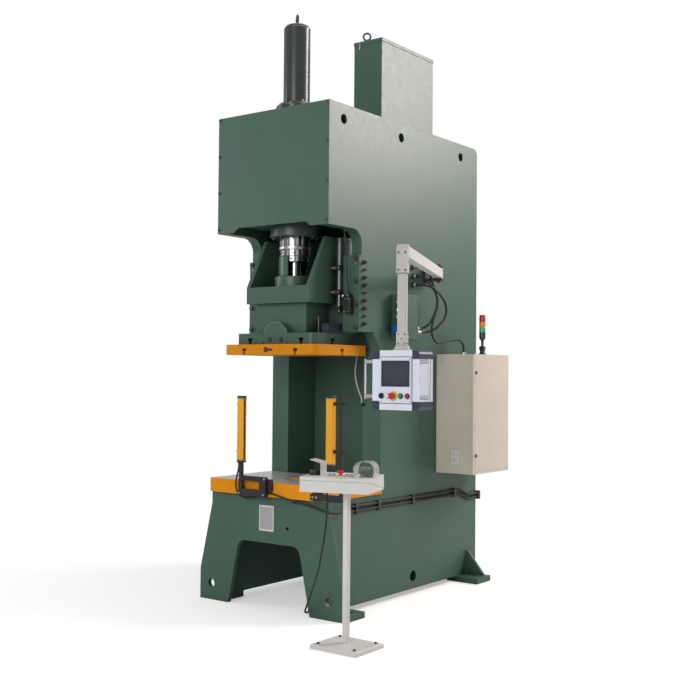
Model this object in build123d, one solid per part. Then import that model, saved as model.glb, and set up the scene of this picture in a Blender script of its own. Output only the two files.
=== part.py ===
from build123d import *
import os
from math import atan2, cos, hypot, pi, radians, sin, tan

# Hydraulic C-frame press, in millimetres, +Z up, its front towards -Y.
# The origin lies on the floor, at the centre of the four anchor-bolt holes.

# Frame
FRAME_W = 938
SIDE_T = 80
FOOT_T = 40
HEAD_TOP = 3221
HEAD_Z = 2442
FRONT_Y = -891
REAR_Y = 956
REAR_CORNER_R = 52
COVER_T = 10
THROAT_R = 95
GUIDE_SEAT_Y = -534
GUIDE_Z0 = 1785
GUIDE_STEP_Y = -398
COLUMN_Y = -306
COLUMN_Z = 1658
LINER_T = 65
THROAT_BACK_Y = 0
WEB_T = 30
CYL_PLATE_RISE = 58
CYL_PLATE_T = 80
REAR_OPEN_Z = 300
LIFT_HOLE_R = 30
LIFT_HOLE_YS = (-739, -82, 711)
LIFT_HOLE_DROP = 96
SIDE_HOLE_R = 38
SIDE_HOLE_YZ = (98, 126)

# Base and bolster
APRON_Y = -887
APRON_T = 30
APRON_HALF_W = 493
APRON_FLARE_HALF_W = 595
APRON_FLARE_Z = 646
APRON_LEG_Z = 201
ARCH_HALF_W0 = 344
ARCH_HALF_W1 = 252
ARCH_Z = 422
ARCH_R = 60
APRON_HOLE_R = 28.5
APRON_HOLE_X = 494
APRON_HOLE_Z = 109
TABLE_T = 40
BOLSTER_Z = 723
BOLSTER_T = 92
BOLSTER_HALF_W = 481
BOLSTER_FRONT_Y = -919
BOLSTER_BORE_R = 50
BOLSTER_ROW_Y = -565
BOLSTER_ROW_PITCH = 40
BOLSTER_ROW_COUNT = 10
TAP_R = 8.5
TABLE_BORE_R = 60
APRON_SMALL_HOLE = (159, 529)
FEET_X = 572
FEET_Y = 759
FOOT_HOLE_R = 15
FRONT_FOOT_HALF_W = 619
REAR_FOOT_HALF_W = 646
FOOT_LEN = 176
GUSSET_T = 20
GUSSET_H = 170

# Ram and slide
RAM_Y = -641
STROKE = 400
ROD_R = 104
NECK_R = 42.5
PISTON_R = 130
PISTON_T = 100
PISTON_Z = 2900
TAIL_ROD_R = 30
TAIL_HEAD_R = 50
ROD_END_Z = 2281
COLLAR_H = 40
LOCK_RING_R = 97
LOCK_RING_H = 33
CUP_R = 133
CUP_T = 72
SLEEVE_T = 9
SLEEVE_EDGE_X = 24
BARREL_R = 165
BARREL_FLANGE_R = 215
BARREL_TOP = 3180
GLAND_R = 167
GLAND_DROP = 34
GLAND_H = 60
TAIL_R = 88.5
TAIL_WALL = 11
TAIL_H = 589
TAIL_FLANGE_R = 137
TAIL_FLANGE_T = 85
RUN = 0.05
SLIDE_Z = 1698
FLANGE_T = 74
FLANGE_HALF_W = 321
FLANGE_Y0 = -837
FLANGE_Y1 = -416
LOWER_HALF_W = 207
LOWER_Y0 = -776
BELT_Z = 1968
BELT_H = 109
BELT_HALF_W = 267
BELT_Y0 = -819
GUSSET_DROP = 38
GUSSET_TOP_Y = -645
SLIDE_WALL = 30
WING_HALF_W = 352
WING_T = 94
PLATE_T = 68
PLATE_HALF_W = 375
PLATE_Y0 = -897
PLATE_Y1 = -352
CORNER_R = 60
LEFT_CORNER_R = 6
SLOT_X = 215
FLANGE_SLOT_Y = -644
PLATE_SLOT_Y = -610
SLOT_HEAD_W = 36
SLOT_HEAD_H = 16
SLOT_STEM_W = 20
SLOT_DEPTH = 42
SHANK_R = 25
SHANK_DEPTH = 120
CLAMP_R = 104
CLAMP_Z = 1738
CLAMP_T = 60
SEAT_GAP = 0.3

# Guides
GIB_T = 28
GIB_IN_X = 340
GIB_BAR_IN_X = 300
GIB_DROP = 162
GIB_BAR_DROP = 48
GIB_BAR_Y1 = -400
SCREW_Y = -513
SCREW_Z0 = 1835
SCREW_PITCH = 50
SCREW_COUNT = 9
SCREW_OUT = 30
GIB_BOLT_X = 446
GIB_BOLT_Z0 = 1812
GIB_BOLT_PITCH = 149
TRIP_X = 327
TRIP_Y = -585
TRIP_Z0 = 1915
TRIP_R = 11
DOG_ZS = (2200, 2041)
DOG_H = 32
DOG_OUT = 18
CAM_H = 24
FLANGE_BLOCK_X = 266
FLANGE_BLOCK_Y0 = -690
FLANGE_BLOCK_H = 64
SWITCH_OFF = 53
SWITCH_W = 48
SWITCH_Z = 1899
SWITCH_H = 107

# Head fittings
VALVE_X0 = 133
VALVE_X1 = 366
VALVE_Y0 = -174
VALVE_Y1 = 482
VALVE_H = 569
LID_T = 24
VALVE_WALL = 6

# Operator panel and its arm
PIVOT_X = 563
PIVOT_Y = 258
PIN_R = 12
BARREL_HINGE_R = 30
ARM_Z0 = 2185
ARM_H = 67
ARM_W = 54
ARM_WALL = 4
LUG_T = 18
HINGE_GAP = 0.5
POST_X = 1122
POST_Y = -1040
POST_W = 52
POST_Z = 1653
PANEL_W = 320
PANEL_H = 338
PANEL_D = 138
PANEL_Z = 1310
PANEL_Y0 = -1105
PANEL_CORNER = 50
PANEL_CORNER_R = 26
FASCIA_W = 214
FASCIA_H = 256
FASCIA_T = 8
SCREEN_W = 190
SCREEN_H = 146
SCREEN_X0 = 1030
SCREEN_Z0 = 1443
HANDLE_OUT = 57
HANDLE_R = 7
HANDLE_FOOT_R = 12
HANDLE_Z0 = 1369
HANDLE_Z1 = 1599
BUTTON_Z = 1390
KNOB_X = 1032
LAMP_X = 1073
ESTOP_X = 1113
GREEN_X = 1162
RED_X = 1207
BUTTON_R = 11
BEZEL_R = 15
BEZEL_T = 4
BUTTON_OUT = 14
BUTTON_TRAVEL = 4

# Electric cabinet and junction box
CAB_X1 = 769
CAB_Y0 = 391
CAB_Y1 = 908
CAB_Z0 = 816
CAB_Z1 = 1656
CAB_WALL = 3
DOOR_D = 20
DOOR_GAP = 1
LOCK_Z_INSET = 130
LOCK_R = 11
BEACON_X = 684
BEACON_Y = 667
BEACON_R = 23
JB_X1 = 564
JB_Y0 = -189
JB_Y1 = -3
JB_Z0 = 1745
JB_Z1 = 2048
GLAND_Y = 70
GLAND_ZS = (2252, 2187, 2128)
GLAND_OUT = 30
HOSE_D = 16
CABLE_D = 14
CONDUIT_D = 18
CONDUIT_ZS = (670, 640)
CLAMP_YS = (-595, -345, 63, 617)
CURTAIN_CABLE_D = 11
PEDESTAL_CABLE_D = 12
THROAT_HOSE_D = 10
SWITCH_CABLE_D = 7

# Light curtains
CURTAIN_W = 52
CURTAIN_D = 33
CURTAIN_H = 428
CURTAIN_Y0 = -966
LEFT_CURTAIN_X = -207
LEFT_CURTAIN_Z = 934
RIGHT_CURTAIN_X = 520
RIGHT_CURTAIN_Z = 948
CURTAIN_POST_X = 631

# Two-hand pedestal
BASE_X = 965
BASE_Y = -1335
BASE_W = 313
BASE_D = 265
BASE_T = 25
POLE_X = 950
POLE_Y = -1325
POLE_W = 30
BOX_X = 935
BOX_Y = -1350
BOX_YAW = 18
BOX_W = 392
BOX_D = 300
BOX_Z = 866
BOX_H = 84
BOX_WALL = 2
PALM_INSET = 48
PALM_V = -30
PALM_R = 32
PALM_TRAVEL = 6
GUARD_W = 120
GUARD_H = 86
GUARD_D = 92
GUARD_T = 3

# Sizes worked out from those above
OUT_X = FRAME_W / 2
IN_X = OUT_X - SIDE_T
LINER_X = IN_X - LINER_T
COVER_BACK_Y = FRONT_Y + COVER_T
APRON_BACK_Y = APRON_Y + APRON_T
BOLSTER_TOP = BOLSTER_Z + BOLSTER_T
SLIDE_TOP = SLIDE_Z + FLANGE_T
PLATE_Z = SLIDE_Z - PLATE_T
FLOOR_TOP = BELT_Z + BELT_H
WING_Y1 = GUIDE_SEAT_Y + WING_T
GIB_FRONT_Y = GUIDE_SEAT_Y - GIB_T
ARM_Z1 = ARM_Z0 + ARM_H
PANEL_TOP = PANEL_Z + PANEL_H
FASCIA_Y = PANEL_Y0 - FASCIA_T
BOX_TOP = BOX_Z + BOX_H
DOOR_X0 = CAB_X1 - DOOR_D
CLIP_X = OUT_X + 3 + CONDUIT_D / 2
CYL_PLATE_Z = HEAD_Z + CYL_PLATE_RISE
GLAND_Z = HEAD_Z - GLAND_DROP
GUSSET_TOP_Z = HEAD_Z - GUSSET_DROP
GIB_Z1 = HEAD_Z - GIB_DROP
GIB_BAR_Z1 = HEAD_Z - GIB_BAR_DROP
VALVE_TOP = HEAD_TOP + VALVE_H
TAIL_TOP = HEAD_TOP + TAIL_H
PALM_U = BOX_W / 2 - PALM_INSET
SWITCH_X = TRIP_X + SWITCH_OFF
SWITCH_TOP = SWITCH_Z + SWITCH_H

os.makedirs("parts", exist_ok=True)


# Shared shapes

def save(node, *solids):
    """Write one node; several solids stay separate in it."""
    shape = solids[0] if len(solids) == 1 else Compound(children=list(solids))
    export_step(shape, f"parts/{node}.step")


def block(x0, x1, y0, y1, z0, z1):
    """Box between two opposite corners."""
    return Pos((x0 + x1) / 2, (y0 + y1) / 2, (z0 + z1) / 2) * Box(x1 - x0, y1 - y0, z1 - z0)


def rod(x, y, z0, z1, r):
    """Upright cylinder."""
    return Pos(x, y, (z0 + z1) / 2) * Cylinder(r, z1 - z0)


def rod_x(y, z, x0, x1, r):
    """Cylinder along X."""
    return Pos((x0 + x1) / 2, y, z) * Rot(0, 90, 0) * Cylinder(r, x1 - x0)


def rod_y(x, z, y0, y1, r):
    """Cylinder along Y."""
    return Pos(x, (y0 + y1) / 2, z) * Rot(90, 0, 0) * Cylinder(r, y1 - y0)


def along_x(points, x0, x1):
    """Prism along X from a closed outline of (y, z) points."""
    wire = Polyline(*[(x0, y, z) for y, z in points], close=True)
    return extrude(make_face(wire), amount=x1 - x0, dir=(1, 0, 0))


def along_y(points, y0, y1):
    """Prism along Y from a closed outline of (x, z) points."""
    wire = Polyline(*[(x, y0, z) for x, z in points], close=True)
    return extrude(make_face(wire), amount=y1 - y0, dir=(0, 1, 0))


def along_z(points, z0, z1):
    """Prism along Z from a closed outline of (x, y) points."""
    wire = Polyline(*[(x, y, z0) for x, y in points], close=True)
    return extrude(make_face(wire), amount=z1 - z0, dir=(0, 0, 1))


def rounded(solid, axis, spots, radius):
    """Round the edges along an axis that pass through the given spots of the cross plane."""
    picked = []
    for edge in solid.edges().filter_by(axis):
        c = edge.center()
        place = {Axis.X: (c.Y, c.Z), Axis.Y: (c.X, c.Z), Axis.Z: (c.X, c.Y)}[axis]
        if any(hypot(place[0] - s[0], place[1] - s[1]) < 0.5 for s in spots):
            picked.append(edge)
    return fillet(picked, radius)


def turned(profile, x, y):
    """Solid of revolution about an upright axis from (radius, z) points."""
    wire = Polyline(*[(r, 0, z) for r, z in profile], close=True)
    return Pos(x, y, 0) * revolve(make_face(wire), Axis.Z)


def ring(x, y, z0, z1, outer, inner):
    """Upright ring."""
    return rod(x, y, z0, z1, outer) - rod(x, y, z0 - 1, z1 + 1, inner)


def both_sides(solid):
    """The solid and its mirror image across the middle plane."""
    return [solid, mirror(solid, about=Plane.YZ)]


def hex_head(width, height):
    """Hexagon head standing on the XY plane."""
    return extrude(RegularPolygon(width / 2, 6, major_radius=False), amount=height)


def cord(name, points, diameter):
    """Round cord of straight runs joined by tangent arcs; its radii are printed."""
    radii = []
    for a, b, c in zip(points, points[1:], points[2:]):
        before = Vector(b) - Vector(a)
        after = Vector(c) - Vector(b)
        turn = radians(before.get_angle(after))
        radii.append(0.45 * min(before.length, after.length) / tan(turn / 2))
    path = FilletPolyline(*points, radius=radii)
    start = Plane(origin=path @ 0, z_dir=path % 0)
    tube = sweep(start * Circle(diameter / 2), path=path)
    section = pi * diameter ** 2 / 4
    print(f"{name}: length {path.length:.0f}, least radius {min(radii):.0f},",
          f"volume / (section x length) {tube.volume / (section * path.length):.4f}")
    return tube


# Frame

def side_plate():
    """Right side plate: one thick plate with the throat, the guide seat and the holes cut out."""
    outline = [(APRON_BACK_Y, FOOT_T), (APRON_BACK_Y, BOLSTER_Z), (COLUMN_Y, BOLSTER_Z), (COLUMN_Y, COLUMN_Z),
               (GUIDE_STEP_Y, GUIDE_Z0), (GUIDE_SEAT_Y, GUIDE_Z0), (GUIDE_SEAT_Y, HEAD_Z),
               (COVER_BACK_Y, HEAD_Z), (COVER_BACK_Y, HEAD_TOP), (REAR_Y, HEAD_TOP), (REAR_Y, FOOT_T)]
    plate = along_x(outline, IN_X, OUT_X)
    plate = rounded(plate, Axis.X, [(GUIDE_SEAT_Y, HEAD_Z)], THROAT_R)
    plate = rounded(plate, Axis.X, [(REAR_Y, HEAD_TOP)], REAR_CORNER_R)
    for y in LIFT_HOLE_YS:
        plate -= rod_x(y, HEAD_TOP - LIFT_HOLE_DROP, IN_X - 1, OUT_X + 1, LIFT_HOLE_R)
    return plate - rod_x(*SIDE_HOLE_YZ, IN_X - 1, OUT_X + 1, SIDE_HOLE_R)


def throat_plates():
    """Liners inside both side plates and the plate that closes the throat at the back."""
    liner = block(LINER_X, IN_X, COLUMN_Y, THROAT_BACK_Y, BOLSTER_Z, CYL_PLATE_Z)
    back = block(-IN_X, IN_X, THROAT_BACK_Y, THROAT_BACK_Y + WEB_T, BOLSTER_Z, CYL_PLATE_Z)
    return [*both_sides(liner), back]


def top_rear_plate():
    """Plate bent over the head's top and down the rear, with the hole for the tail rod."""
    outer = [(COVER_BACK_Y, HEAD_TOP - WEB_T), (COVER_BACK_Y, HEAD_TOP), (REAR_Y, HEAD_TOP), (REAR_Y, REAR_OPEN_Z),
             (REAR_Y - WEB_T, REAR_OPEN_Z), (REAR_Y - WEB_T, HEAD_TOP - WEB_T)]
    plate = along_x(outer, -IN_X, IN_X)
    plate = rounded(plate, Axis.X, [(REAR_Y, HEAD_TOP)], REAR_CORNER_R)
    plate = rounded(plate, Axis.X, [(REAR_Y - WEB_T, HEAD_TOP - WEB_T)], REAR_CORNER_R - WEB_T)
    return plate - rod(0, RAM_Y, HEAD_TOP - 2 * WEB_T, HEAD_TOP + 1, TAIL_HEAD_R + 10)


def cylinder_plate():
    """Thick plate across the head that carries the main cylinder."""
    plate = block(-IN_X, IN_X, COVER_BACK_Y, THROAT_BACK_Y + WEB_T, CYL_PLATE_Z, CYL_PLATE_Z + CYL_PLATE_T)
    return plate - rod(0, RAM_Y, CYL_PLATE_Z - 1, CYL_PLATE_Z + CYL_PLATE_T + 1, BARREL_R + SEAT_GAP)


def front_cover():
    """Cover of the head's front, with the shallow notch over the cylinder gland."""
    notch_h = 29
    outline = [(-OUT_X, HEAD_Z), (-OUT_X, HEAD_TOP), (OUT_X, HEAD_TOP), (OUT_X, HEAD_Z),
               (325, HEAD_Z), (286, HEAD_Z + notch_h), (-286, HEAD_Z + notch_h), (-325, HEAD_Z)]
    return along_y(outline, FRONT_Y, COVER_BACK_Y)


def base_apron():
    """Apron plate with its flared legs and arch, and the table plate behind it."""
    right = [(APRON_HALF_W, BOLSTER_Z), (APRON_HALF_W, APRON_FLARE_Z), (APRON_FLARE_HALF_W, APRON_LEG_Z),
             (APRON_FLARE_HALF_W, 0), (ARCH_HALF_W0, 0), (ARCH_HALF_W1, ARCH_Z)]
    left = [(-x, z) for x, z in reversed(right)]
    apron = along_y(right + left, APRON_Y, APRON_BACK_Y)
    apron = rounded(apron, Axis.Y, [(ARCH_HALF_W1, ARCH_Z), (-ARCH_HALF_W1, ARCH_Z)], ARCH_R)
    for x in (-APRON_HOLE_X, APRON_HOLE_X):
        apron -= rod_y(x, APRON_HOLE_Z, APRON_Y - 1, APRON_BACK_Y + 1, APRON_HOLE_R)
    apron -= rod_y(*APRON_SMALL_HOLE, APRON_Y - 1, APRON_BACK_Y + 1, 11)
    table = block(-IN_X, IN_X, APRON_BACK_Y, THROAT_BACK_Y + WEB_T, BOLSTER_Z - TABLE_T, BOLSTER_Z)
    return apron + table - rod(0, RAM_Y, BOLSTER_Z - TABLE_T - 1, BOLSTER_Z + 1, TABLE_BORE_R)


def anchor_feet():
    """Four foot plates under the side plates; the rear ones have a gusset."""
    front_y = APRON_BACK_Y
    front = block(IN_X, FRONT_FOOT_HALF_W, front_y, front_y + FOOT_LEN, 0, FOOT_T)
    rear = block(IN_X, REAR_FOOT_HALF_W, FEET_Y - 82, FEET_Y + 110, 0, FOOT_T)
    front -= rod(FEET_X, -FEET_Y, -1, FOOT_T + 1, FOOT_HOLE_R)
    rear -= rod(FEET_X, FEET_Y, -1, FOOT_T + 1, FOOT_HOLE_R)
    gusset_y = FEET_Y + 55
    gusset = [(OUT_X, FOOT_T), (OUT_X, FOOT_T + GUSSET_H), (OUT_X + 16, FOOT_T + GUSSET_H),
              (REAR_FOOT_HALF_W - 20, FOOT_T)]
    rear += along_y(gusset, gusset_y, gusset_y + GUSSET_T)
    return [*both_sides(front), *both_sides(rear)]


def bolster():
    """Bolster plate on the table, with its centre bore, a row of blind holes and four in its front edge."""
    plate = block(-BOLSTER_HALF_W, BOLSTER_HALF_W, BOLSTER_FRONT_Y, COLUMN_Y, BOLSTER_Z, BOLSTER_TOP)
    plate -= rod(0, RAM_Y, BOLSTER_Z - 1, BOLSTER_TOP + 1, BOLSTER_BORE_R)
    for index in range(BOLSTER_ROW_COUNT):
        x = (index - (BOLSTER_ROW_COUNT - 1) / 2) * BOLSTER_ROW_PITCH
        plate -= rod(x, BOLSTER_ROW_Y, BOLSTER_TOP - 45, BOLSTER_TOP + 1, TAP_R)
    for side in (-1, 1):
        for inset in (10, 58):
            x = side * (BOLSTER_HALF_W - inset)
            plate -= rod_y(x, BOLSTER_TOP - 28, BOLSTER_FRONT_Y - 1, BOLSTER_FRONT_Y + 20, 4)
    return plate


# Cylinder and rod

def main_cylinder():
    """Barrel with its flange on the cylinder plate, and the gland ring below it."""
    bore_z = PISTON_Z + PISTON_T + 120
    flange_z = CYL_PLATE_Z + CYL_PLATE_T
    barrel = turned([(PISTON_R, GLAND_Z + GLAND_H), (BARREL_R, GLAND_Z + GLAND_H), (BARREL_R, flange_z),
                     (BARREL_FLANGE_R, flange_z), (BARREL_FLANGE_R, flange_z + 60), (BARREL_R, flange_z + 60),
                     (BARREL_R, BARREL_TOP), (TAIL_ROD_R + RUN, BARREL_TOP), (TAIL_ROD_R + RUN, bore_z),
                     (PISTON_R, bore_z)], 0, RAM_Y)
    gland = ring(0, RAM_Y, GLAND_Z, GLAND_Z + GLAND_H, GLAND_R, ROD_R + RUN)
    return [barrel, chamfer(gland.edges().group_by(Axis.Z)[0].sort_by(SortBy.LENGTH)[-1], 4)]


def piston_rod():
    """Neck, rod, piston, tail rod and stop head, turned as one piece."""
    groove_z = ROD_END_Z + COLLAR_H
    head_z = PISTON_Z + PISTON_T + STROKE + 200
    return turned([(0, SLIDE_Z + FLANGE_T + BELT_H + 250), (NECK_R, SLIDE_Z + FLANGE_T + BELT_H + 250),
                   (NECK_R, ROD_END_Z), (ROD_R - 2, ROD_END_Z), (ROD_R, ROD_END_Z + 2), (ROD_R, groove_z - 3),
                   (ROD_R - 4, groove_z - 3), (ROD_R - 4, groove_z + 3), (ROD_R, groove_z + 3), (ROD_R, PISTON_Z),
                   (PISTON_R - RUN, PISTON_Z), (PISTON_R - RUN, PISTON_Z + PISTON_T),
                   (TAIL_ROD_R, PISTON_Z + PISTON_T), (TAIL_ROD_R, head_z), (TAIL_HEAD_R, head_z),
                   (TAIL_HEAD_R, head_z + 60), (0, head_z + 60)], 0, RAM_Y)


def lock_ring():
    """Ring nut under the rod's end, with four spanner holes."""
    part = ring(0, RAM_Y, ROD_END_Z - LOCK_RING_H, ROD_END_Z, LOCK_RING_R, NECK_R + RUN)
    for turn in range(4):
        hole = Rot(0, 0, 25 + 90 * turn) * Pos(LOCK_RING_R, 0, 0) * Rot(0, 90, 0) * Cylinder(7, 40)
        part -= Pos(0, RAM_Y, ROD_END_Z - LOCK_RING_H / 2) * hole
    return part


def coupling_cup():
    """Flanged cup on the slide floor; its half sleeve shields the neck on the left."""
    sleeve_r = LOCK_RING_R + 1
    flange_top = FLOOR_TOP + CUP_T
    cup = rod(0, RAM_Y, FLOOR_TOP, flange_top, CUP_R)
    cup = chamfer(cup.edges().group_by(Axis.Z)[-1], 4)
    cup -= rod(0, RAM_Y, FLOOR_TOP - 1, flange_top + 1, NECK_R + RUN)
    sleeve = ring(0, RAM_Y, flange_top, ROD_END_Z - 1, sleeve_r + SLEEVE_T, sleeve_r)
    sleeve &= block(-CUP_R, SLEEVE_EDGE_X, RAM_Y - CUP_R, RAM_Y + CUP_R, flange_top, ROD_END_Z)
    return cup + sleeve


def cylinder_tail():
    """Tube on the head that shields the tail rod, with its foot flange and domed cap."""
    inner = TAIL_R - TAIL_WALL
    top = HEAD_TOP + TAIL_FLANGE_T
    return turned([(inner, HEAD_TOP), (TAIL_FLANGE_R, HEAD_TOP), (TAIL_FLANGE_R, top - 26),
                   (TAIL_FLANGE_R - 22, top - 4), (TAIL_R + 4, top), (TAIL_R, top + 3), (TAIL_R, TAIL_TOP), (TAIL_R - 6, TAIL_TOP + 6),
                   (0, TAIL_TOP + 6), (0, TAIL_TOP - 12), (inner, TAIL_TOP - 12)], 0, RAM_Y)


# Slide

def t_slot(length, z):
    """T-slot along Y, open downwards at z and centred on the origin."""
    stem = Pos(0, 0, z + SLOT_DEPTH / 2 - 1) * Box(SLOT_STEM_W, length, SLOT_DEPTH + 2)
    head = Pos(0, 0, z + SLOT_DEPTH - SLOT_HEAD_H / 2) * Box(SLOT_HEAD_W, length, SLOT_HEAD_H)
    return stem + head


def slide_body():
    """Welded slide: flange, lower box, floor, slanted gussets, rear wall and guide wings."""
    wing_front = GUIDE_SEAT_Y + RUN
    wing_back = WING_Y1 - RUN
    flange = block(-FLANGE_HALF_W, FLANGE_HALF_W, FLANGE_Y0, FLANGE_Y1, SLIDE_Z, SLIDE_TOP)
    flange = rounded(flange, Axis.Z, [(FLANGE_HALF_W, FLANGE_Y0)], CORNER_R)
    flange = rounded(flange, Axis.Z, [(-FLANGE_HALF_W, FLANGE_Y0)], LEFT_CORNER_R)
    body = flange + block(-LOWER_HALF_W, LOWER_HALF_W, LOWER_Y0, wing_back, SLIDE_TOP, BELT_Z)
    body += block(-BELT_HALF_W, BELT_HALF_W, BELT_Y0, wing_back, BELT_Z, FLOOR_TOP)
    side = [(BELT_Y0, FLOOR_TOP), (GUSSET_TOP_Y, GUSSET_TOP_Z), (wing_back, GUSSET_TOP_Z), (wing_back, FLOOR_TOP)]
    for x in (-BELT_HALF_W, BELT_HALF_W - SLIDE_WALL):
        body += along_x(side, x, x + SLIDE_WALL)
    body += block(-BELT_HALF_W, BELT_HALF_W, wing_back - SLIDE_WALL, wing_back, FLOOR_TOP, GUSSET_TOP_Z)
    for x in (-WING_HALF_W, BELT_HALF_W):
        body += block(x, x + WING_HALF_W - BELT_HALF_W, wing_front, wing_back, SLIDE_TOP, GUSSET_TOP_Z)
    for x in (-WING_HALF_W, LOWER_HALF_W):
        body += block(x, x + WING_HALF_W - LOWER_HALF_W, wing_front, wing_back, SLIDE_TOP, BELT_Z)
    for x in (-SLOT_X, SLOT_X):
        body -= Pos(x, (FLANGE_Y0 + FLANGE_Y1) / 2, 0) * t_slot(FLANGE_Y1 - FLANGE_Y0 + 2, SLIDE_Z)
    body -= Pos(0, FLANGE_SLOT_Y, 0) * Rot(0, 0, 90) * t_slot(2 * FLANGE_HALF_W + 2, SLIDE_Z)
    body -= block(-CLAMP_R - SEAT_GAP, CLAMP_R + SEAT_GAP, FLANGE_Y0 - 1, FLANGE_Y0 + CLAMP_T,
                  SLIDE_Z - 1, SLIDE_TOP + 1)
    return body - rod(0, RAM_Y, SLIDE_Z - 1, PLATE_Z + SHANK_DEPTH, SHANK_R)


def slide_plate():
    """Plate under the slide with its rounded front corner, T-slots and the shank bore."""
    plate = block(-PLATE_HALF_W, PLATE_HALF_W, PLATE_Y0, PLATE_Y1, PLATE_Z, SLIDE_Z)
    plate = rounded(plate, Axis.Z, [(PLATE_HALF_W, PLATE_Y0)], CORNER_R)
    plate = rounded(plate, Axis.Z, [(-PLATE_HALF_W, PLATE_Y0)], LEFT_CORNER_R)
    for x in (-SLOT_X, SLOT_X):
        plate -= Pos(x, (PLATE_Y0 + PLATE_Y1) / 2, 0) * t_slot(PLATE_Y1 - PLATE_Y0 + 2, PLATE_Z)
    plate -= Pos(0, PLATE_SLOT_Y, 0) * Rot(0, 0, 90) * t_slot(2 * PLATE_HALF_W + 2, PLATE_Z)
    return plate - rod(0, RAM_Y, PLATE_Z - 1, SLIDE_Z + 1, SHANK_R)


def shank_clamp():
    """Arched clamp block set into the flange's front."""
    y0 = FLANGE_Y0
    disc = rod_y(0, CLAMP_Z, y0, y0 + CLAMP_T - SEAT_GAP, CLAMP_R)
    return disc & block(-CLAMP_R, CLAMP_R, y0 - 1, y0 + CLAMP_T, SLIDE_Z, SLIDE_TOP + CLAMP_R)


def trip_rod():
    """Upright rod beside the slide, held by two dogs on the slide's side, with a cam near its foot."""
    part = rod(TRIP_X, TRIP_Y, TRIP_Z0, GUSSET_TOP_Z - 10, TRIP_R)
    back = GIB_FRONT_Y - 4
    for z in DOG_ZS:
        dog = block(BELT_HALF_W, TRIP_X + DOG_OUT, TRIP_Y - 20, back, z - DOG_H / 2, z + DOG_H / 2)
        part += chamfer(dog.edges().filter_by(Axis.Y).group_by(Axis.X)[-1], 7)
    cam = block(TRIP_X - 1.5 * DOG_OUT, TRIP_X + DOG_OUT, TRIP_Y - DOG_OUT, back, TRIP_Z0 + 10, TRIP_Z0 + 10 + CAM_H)
    return part + cam


def flange_block():
    """Dark block on the right end of the slide flange, in front of the guide wing."""
    part = block(FLANGE_BLOCK_X, FLANGE_HALF_W, FLANGE_BLOCK_Y0, GUIDE_SEAT_Y - SEAT_GAP,
                 SLIDE_TOP, SLIDE_TOP + FLANGE_BLOCK_H)
    return chamfer(part.edges().group_by(Axis.Z)[-1], 3)


# Guides

def front_gibs():
    """Plates on the front edges of the side plates that hold the slide wings in."""
    return both_sides(block(GIB_IN_X, OUT_X, GIB_FRONT_Y, GUIDE_SEAT_Y, GUIDE_Z0, GIB_Z1))


def gib_bars():
    """L-section bars that guide the slide wings at the side and at the back."""
    side_x = WING_HALF_W + RUN
    outline = [(side_x, GUIDE_SEAT_Y), (IN_X, GUIDE_SEAT_Y), (IN_X, GIB_BAR_Y1), (GIB_BAR_IN_X, GIB_BAR_Y1),
               (GIB_BAR_IN_X, WING_Y1), (side_x, WING_Y1)]
    return both_sides(along_z(outline, GUIDE_Z0, GIB_BAR_Z1))


def gib_bolts():
    """Adjusting screws through the side plates' faces and bolt heads on the front gibs."""
    bolts = []
    for index in range(SCREW_COUNT):
        z = SCREW_Z0 + SCREW_PITCH * index
        width = 26 if index % 3 != 1 else 17
        screw = rod_x(SCREW_Y, z, OUT_X, OUT_X + SCREW_OUT, width / 2 - 4)
        screw += Pos(OUT_X, SCREW_Y, z) * Rot(0, 90, 0) * hex_head(width, 12)
        bolts += both_sides(screw)
    for index in range(4):
        z = GIB_BOLT_Z0 + GIB_BOLT_PITCH * index
        bolts += both_sides(rod_y(GIB_BOLT_X, z, GIB_FRONT_Y - 14, GIB_FRONT_Y, 15))
    return bolts


def limit_switch():
    """Switch body on the right front gib, with its roller beside the trip dogs."""
    x0 = SWITCH_X
    top = SWITCH_TOP
    body = block(x0, x0 + SWITCH_W, GIB_FRONT_Y - 44, GIB_FRONT_Y, SWITCH_Z, top)
    body = fillet(body.edges().filter_by(Axis.Z), 6)
    body += block(x0 + 6, x0 + SWITCH_W - 8, GIB_FRONT_Y - 40, GIB_FRONT_Y - 6, top, top + 20)
    arm = block(x0 - 22, x0 + 14, GIB_FRONT_Y - 26, GIB_FRONT_Y - 20, top + 4, top + 16)
    return body + arm + rod_y(x0 - 22, top + 10, GIB_FRONT_Y - 30, GIB_FRONT_Y - 16, 11)


# Head fittings

def valve_box():
    """Sheet-metal box on the head, open at the top under its lid."""
    box = block(VALVE_X0, VALVE_X1, VALVE_Y0, VALVE_Y1, HEAD_TOP, VALVE_TOP)
    inner = block(VALVE_X0 + VALVE_WALL, VALVE_X1 - VALVE_WALL, VALVE_Y0 + VALVE_WALL, VALVE_Y1 - VALVE_WALL,
                  HEAD_TOP + VALVE_WALL, VALVE_TOP + 1)
    return box - inner


def valve_box_lid():
    """Lid of the valve box, folded from sheet."""
    over = 3
    lid = block(VALVE_X0 - over, VALVE_X1 + over, VALVE_Y0 - over, VALVE_Y1 + over, VALVE_TOP, VALVE_TOP + LID_T)
    return chamfer(lid.edges().group_by(Axis.Z)[-1], 3)


# Operator panel

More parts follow.
